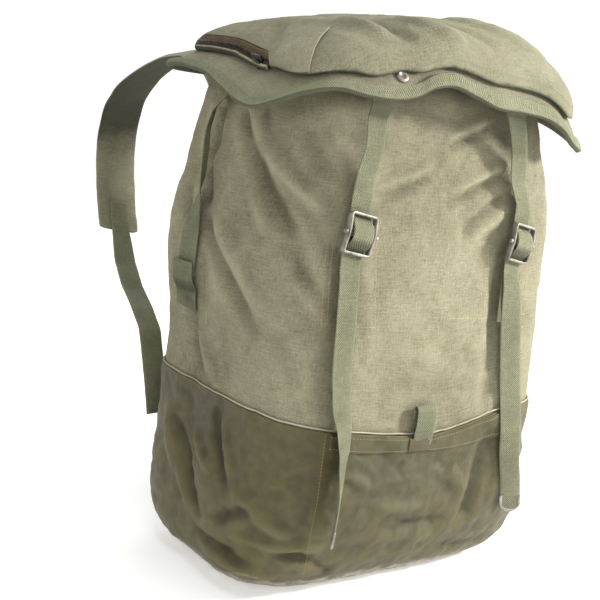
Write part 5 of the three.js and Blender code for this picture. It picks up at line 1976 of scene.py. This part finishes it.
for side_name, strap in LID_STRAPS.items():
    stations = strap_stations(strap)
    count = len(strap["tail"]) + 1
    tail = push_clear(stations[-count:], bag_tree, WEBBING, 0.6)
    stations = stations[:-count] + tail
    webbing = band(
        f"lid_strap_{side_name}_webbing", stations, WEBBING, step=2.0, passes=3, seed=20.0,
        round_end=WEBBING_WIDTH * 0.42,
    )
    put(webbing, WEBBING_CLOTH, "webbing", f"lid_strap_{side_name}")
    tip = strap_tip(f"strap_tip_{side_name}_metal", stations)
    put(tip, STEEL, "steel", f"strap_tip_{side_name}", wear_and_crease_shade=False)
    put(buckle(f"buckle_{side_name}_metal", strap), STEEL, "steel", f"buckle_{side_name}", wear_and_crease_shade=False)
    bar = buckle_bar(f"buckle_bar_{side_name}_metal", strap)
    put(bar, STEEL, "steel", f"buckle_bar_{side_name}", wear_and_crease_shade=False)
    tab = buckle_tab(f"buckle_tab_{side_name}_webbing", strap)
    put(tab, TAB_CLOTH, "tab_webbing", f"buckle_tab_{side_name}")

sewn_on = []
for side_name, side in (("left", -1), ("right", 1)):
    tab = band(f"side_tab_{side_name}_cloth", side_stations(SIDE_TAB, side), WEBBING, step=2.0, seed=31.0)
    put(tab, LID_CANVAS, "lid_canvas", f"side_tab_{side_name}")
    straps = push_clear(side_stations(SIDE_STRAP, side), bag_tree, WEBBING, 0.4)
    webbing = band(f"side_strap_{side_name}_webbing", straps, WEBBING, seed=33.0 + side)
    put(webbing, WEBBING_CLOTH, "webbing", f"side_strap_{side_name}")
    patch = side_patch(f"side_patch_{side_name}_webbing", side)
    put(patch, WEBBING_CLOTH, "webbing", f"side_patch_{side_name}")
    sewn_on += [tab, patch]
    shoulder = shoulder_stations(SHOULDER_STRAP, side, SHOULDER_WIDTH, SHOULDER_TILT)
    padded = band(
        f"shoulder_strap_{side_name}_cloth", shoulder, SHOULDER_THICK,
        step=5.0, passes=5, columns=15, seed=40.0 + side,
    )
    subdivide(padded)
    ripple(padded, [(22, 0.5, 12.0 + side, False)])
    put(padded, LID_CANVAS, "lid_canvas", f"shoulder_strap_{side_name}")
    webbing = shoulder_webbing(f"shoulder_webbing_{side_name}_webbing", side, shoulder)
    put(webbing, WEBBING_CLOTH, "webbing", f"shoulder_webbing_{side_name}")

# Stitches
thread = Stitches("patch_stitches")
for start, end, pitch in STITCH_ROWS:
    steps = np.linspace(0, 1, 24)
    rows = [on_cloth(start[0] + (end[0] - start[0]) * s, start[1] + (end[1] - start[1]) * s) for s in steps]
    thread.row([place for place, out in rows], [out for place, out in rows], pitch)
put(thread.build(), THREAD, "canvas", wear_and_crease_shade=False)

patch_rows = Stitches("corner_patch_stitches", 0.3)
for line in (
    (corner_points[:, 2], corner_outs[:, 2]), (corner_points[:, -3], corner_outs[:, -3]),
    (corner_points[2], corner_outs[2]), (corner_points[-4], corner_outs[-4]),
):
    patch_rows.row(line[0] + line[1] * 0.15, line[1], 2.6)
put(patch_rows.build(), THREAD, "lid_canvas", wear_and_crease_shade=False)

seam = Stitches("seam_stitches", 0.3)
heights = np.linspace(168, 20, 60)
rows = [on_cloth(float(vertical_seam_at(height)) + SEAM_STITCH_OFF, float(height)) for height in heights]
seam.row([place for place, out in rows], [out for place, out in rows], 3.4)
seam.row(hem_points[1], hem_outs[1], 3.4)
seam.row(hem_points[-2], hem_outs[-2], 3.4)
put(seam.build(), DARK_THREAD, "coated_canvas", wear_and_crease_shade=False)

edge = Stitches("lid_stitches", 0.3)
arounds = np.linspace(-180, 180, 720)
reaches = np.array([binding_top(around) for around in arounds]) + 0.012
lift = np.full(720, LID_CLOTH / 2 + 0.5 + BINDING + 0.4)
edge.row(lid_point(arounds, reaches, lift), lid_normal(arounds, reaches), 3.4)
put(edge.build(), GREEN_THREAD, "webbing", wear_and_crease_shade=False)

hem_rows = Stitches("pocket_stitches", 0.3)
pocket_tree = surface_tree(pocket)
path, outs = [], []
for around in np.linspace(-46, 84, 400):
    place = pocket_surface(np.array(around), np.array(0.885), 0.0)
    out = lid_normal(np.array(around), np.array(0.9)) + np.array([0, 0, -0.2])
    out = unit(out + unit(place * [1, 1, 0]) * 0.9)
    hit = pocket_tree.ray_cast(Vector(to_frame(place + out * 25)), Vector(-out))
    if hit[0] is not None:
        path.append(np.array(hit[0]) / MM + ORIGIN + out * 0.1)
        outs.append(out)
hem_rows.row(path, outs, 3.4)
put(hem_rows.build(), GREEN_THREAD, "lid_canvas", wear_and_crease_shade=False)

# The stage, the lights and the camera

FLOOR_DROP = 0.4
FLOOR_FLAT = 2300
FLOOR_CURVE = 1500
FLOOR_WALL = 3200


def backdrop():
    """A pale floor that turns up into a wall all round, far from the bag."""
    profile = [(share * FLOOR_FLAT, 0.0) for share in np.linspace(0.001, 1, 12)]
    for angle in np.linspace(0, 90, 16)[1:]:
        radians = math.radians(angle)
        reach = FLOOR_FLAT + FLOOR_CURVE * math.sin(radians)
        profile.append((reach, FLOOR_CURVE * (1 - math.cos(radians))))
    profile.append((FLOOR_FLAT + FLOOR_CURVE, FLOOR_WALL))
    turn = np.linspace(0, 2 * math.pi, 96, endpoint=False)
    points = [(r * math.cos(a), r * math.sin(a), z - FLOOR_DROP) for r, z in profile for a in turn]
    piece = new_object("backdrop", np.array(points), grid_faces(len(profile), 96, True))
    material = bpy.data.materials.new("backdrop")
    material.use_nodes = True
    shader = material.node_tree.nodes["Principled BSDF"]
    shader.inputs["Base Color"].default_value = (0.84, 0.84, 0.83, 1)
    shader.inputs["Roughness"].default_value = 0.9
    shader.inputs["Emission Color"].default_value = (1, 1, 1, 1)
    shader.inputs["Emission Strength"].default_value = 0.34
    piece.data.materials.append(material)


def soft_light(name, azimuth, elevation, distance, size, power, colour=(1, 1, 1)):
    """A square soft box that looks at the middle of the bag."""
    a, e = math.radians(azimuth), math.radians(elevation)
    away = Vector((math.sin(a) * math.cos(e), -math.cos(a) * math.cos(e), math.sin(e)))
    light = bpy.data.lights.new(name, "AREA")
    light.size = size
    light.energy = power
    light.color = colour
    lamp = bpy.data.objects.new(name, light)
    target = Vector(to_frame(CAMERA_TARGET))
    lamp.location = target + away * distance
    lamp.rotation_mode = "QUATERNION"
    lamp.rotation_quaternion = away.to_track_quat("Z", "Y")
    bpy.context.scene.collection.objects.link(lamp)


def add_camera():
    a, e, r = (math.radians(value) for value in (CAMERA_AZIMUTH, CAMERA_ELEVATION, CAMERA_ROLL))
    back = np.array([math.sin(a) * math.cos(e), -math.cos(a) * math.cos(e), math.sin(e)])
    right = unit(np.cross(-back, [0.0, 0.0, 1.0]))
    up = np.cross(right, -back)
    tilted = right * math.cos(r) + up * math.sin(r)
    raised = up * math.cos(r) - right * math.sin(r)
    data = bpy.data.cameras.new("camera")
    data.sensor_width = SENSOR_WIDTH
    data.lens = FOCAL_PIXELS * SENSOR_WIDTH / IMAGE_SIZE
    data.shift_x = -PRINCIPAL_OFFSET[0] / IMAGE_SIZE
    data.shift_y = PRINCIPAL_OFFSET[1] / IMAGE_SIZE
    camera = bpy.data.objects.new("camera", data)
    matrix = Matrix([(*row, place) for row, place in zip(
        np.stack([tilted, raised, back], -1), to_frame(CAMERA_TARGET + back * CAMERA_DISTANCE)
    )] + [(0, 0, 0, 1)])
    camera.matrix_world = matrix
    bpy.context.scene.collection.objects.link(camera)
    bpy.context.scene.camera = camera


backdrop()
soft_light("key", 52, 24, 1.35, 0.2, 31, (1.0, 0.985, 0.96))
soft_light("top", -10, 78, 1.8, 1.2, 22)
soft_light("fill", -30, 24, 2.4, 1.2, 6, (0.97, 0.985, 1.0))
soft_light("back", 150, 35, 2.0, 1.2, 14)
world = bpy.data.worlds.new("world")
world.use_nodes = True
world.node_tree.nodes["Background"].inputs["Color"].default_value = (0.95, 0.97, 1.0, 1)
world.node_tree.nodes["Background"].inputs["Strength"].default_value = 0.23
bpy.context.scene.world = world
bpy.context.scene.view_settings.view_transform = "Standard"
add_camera()
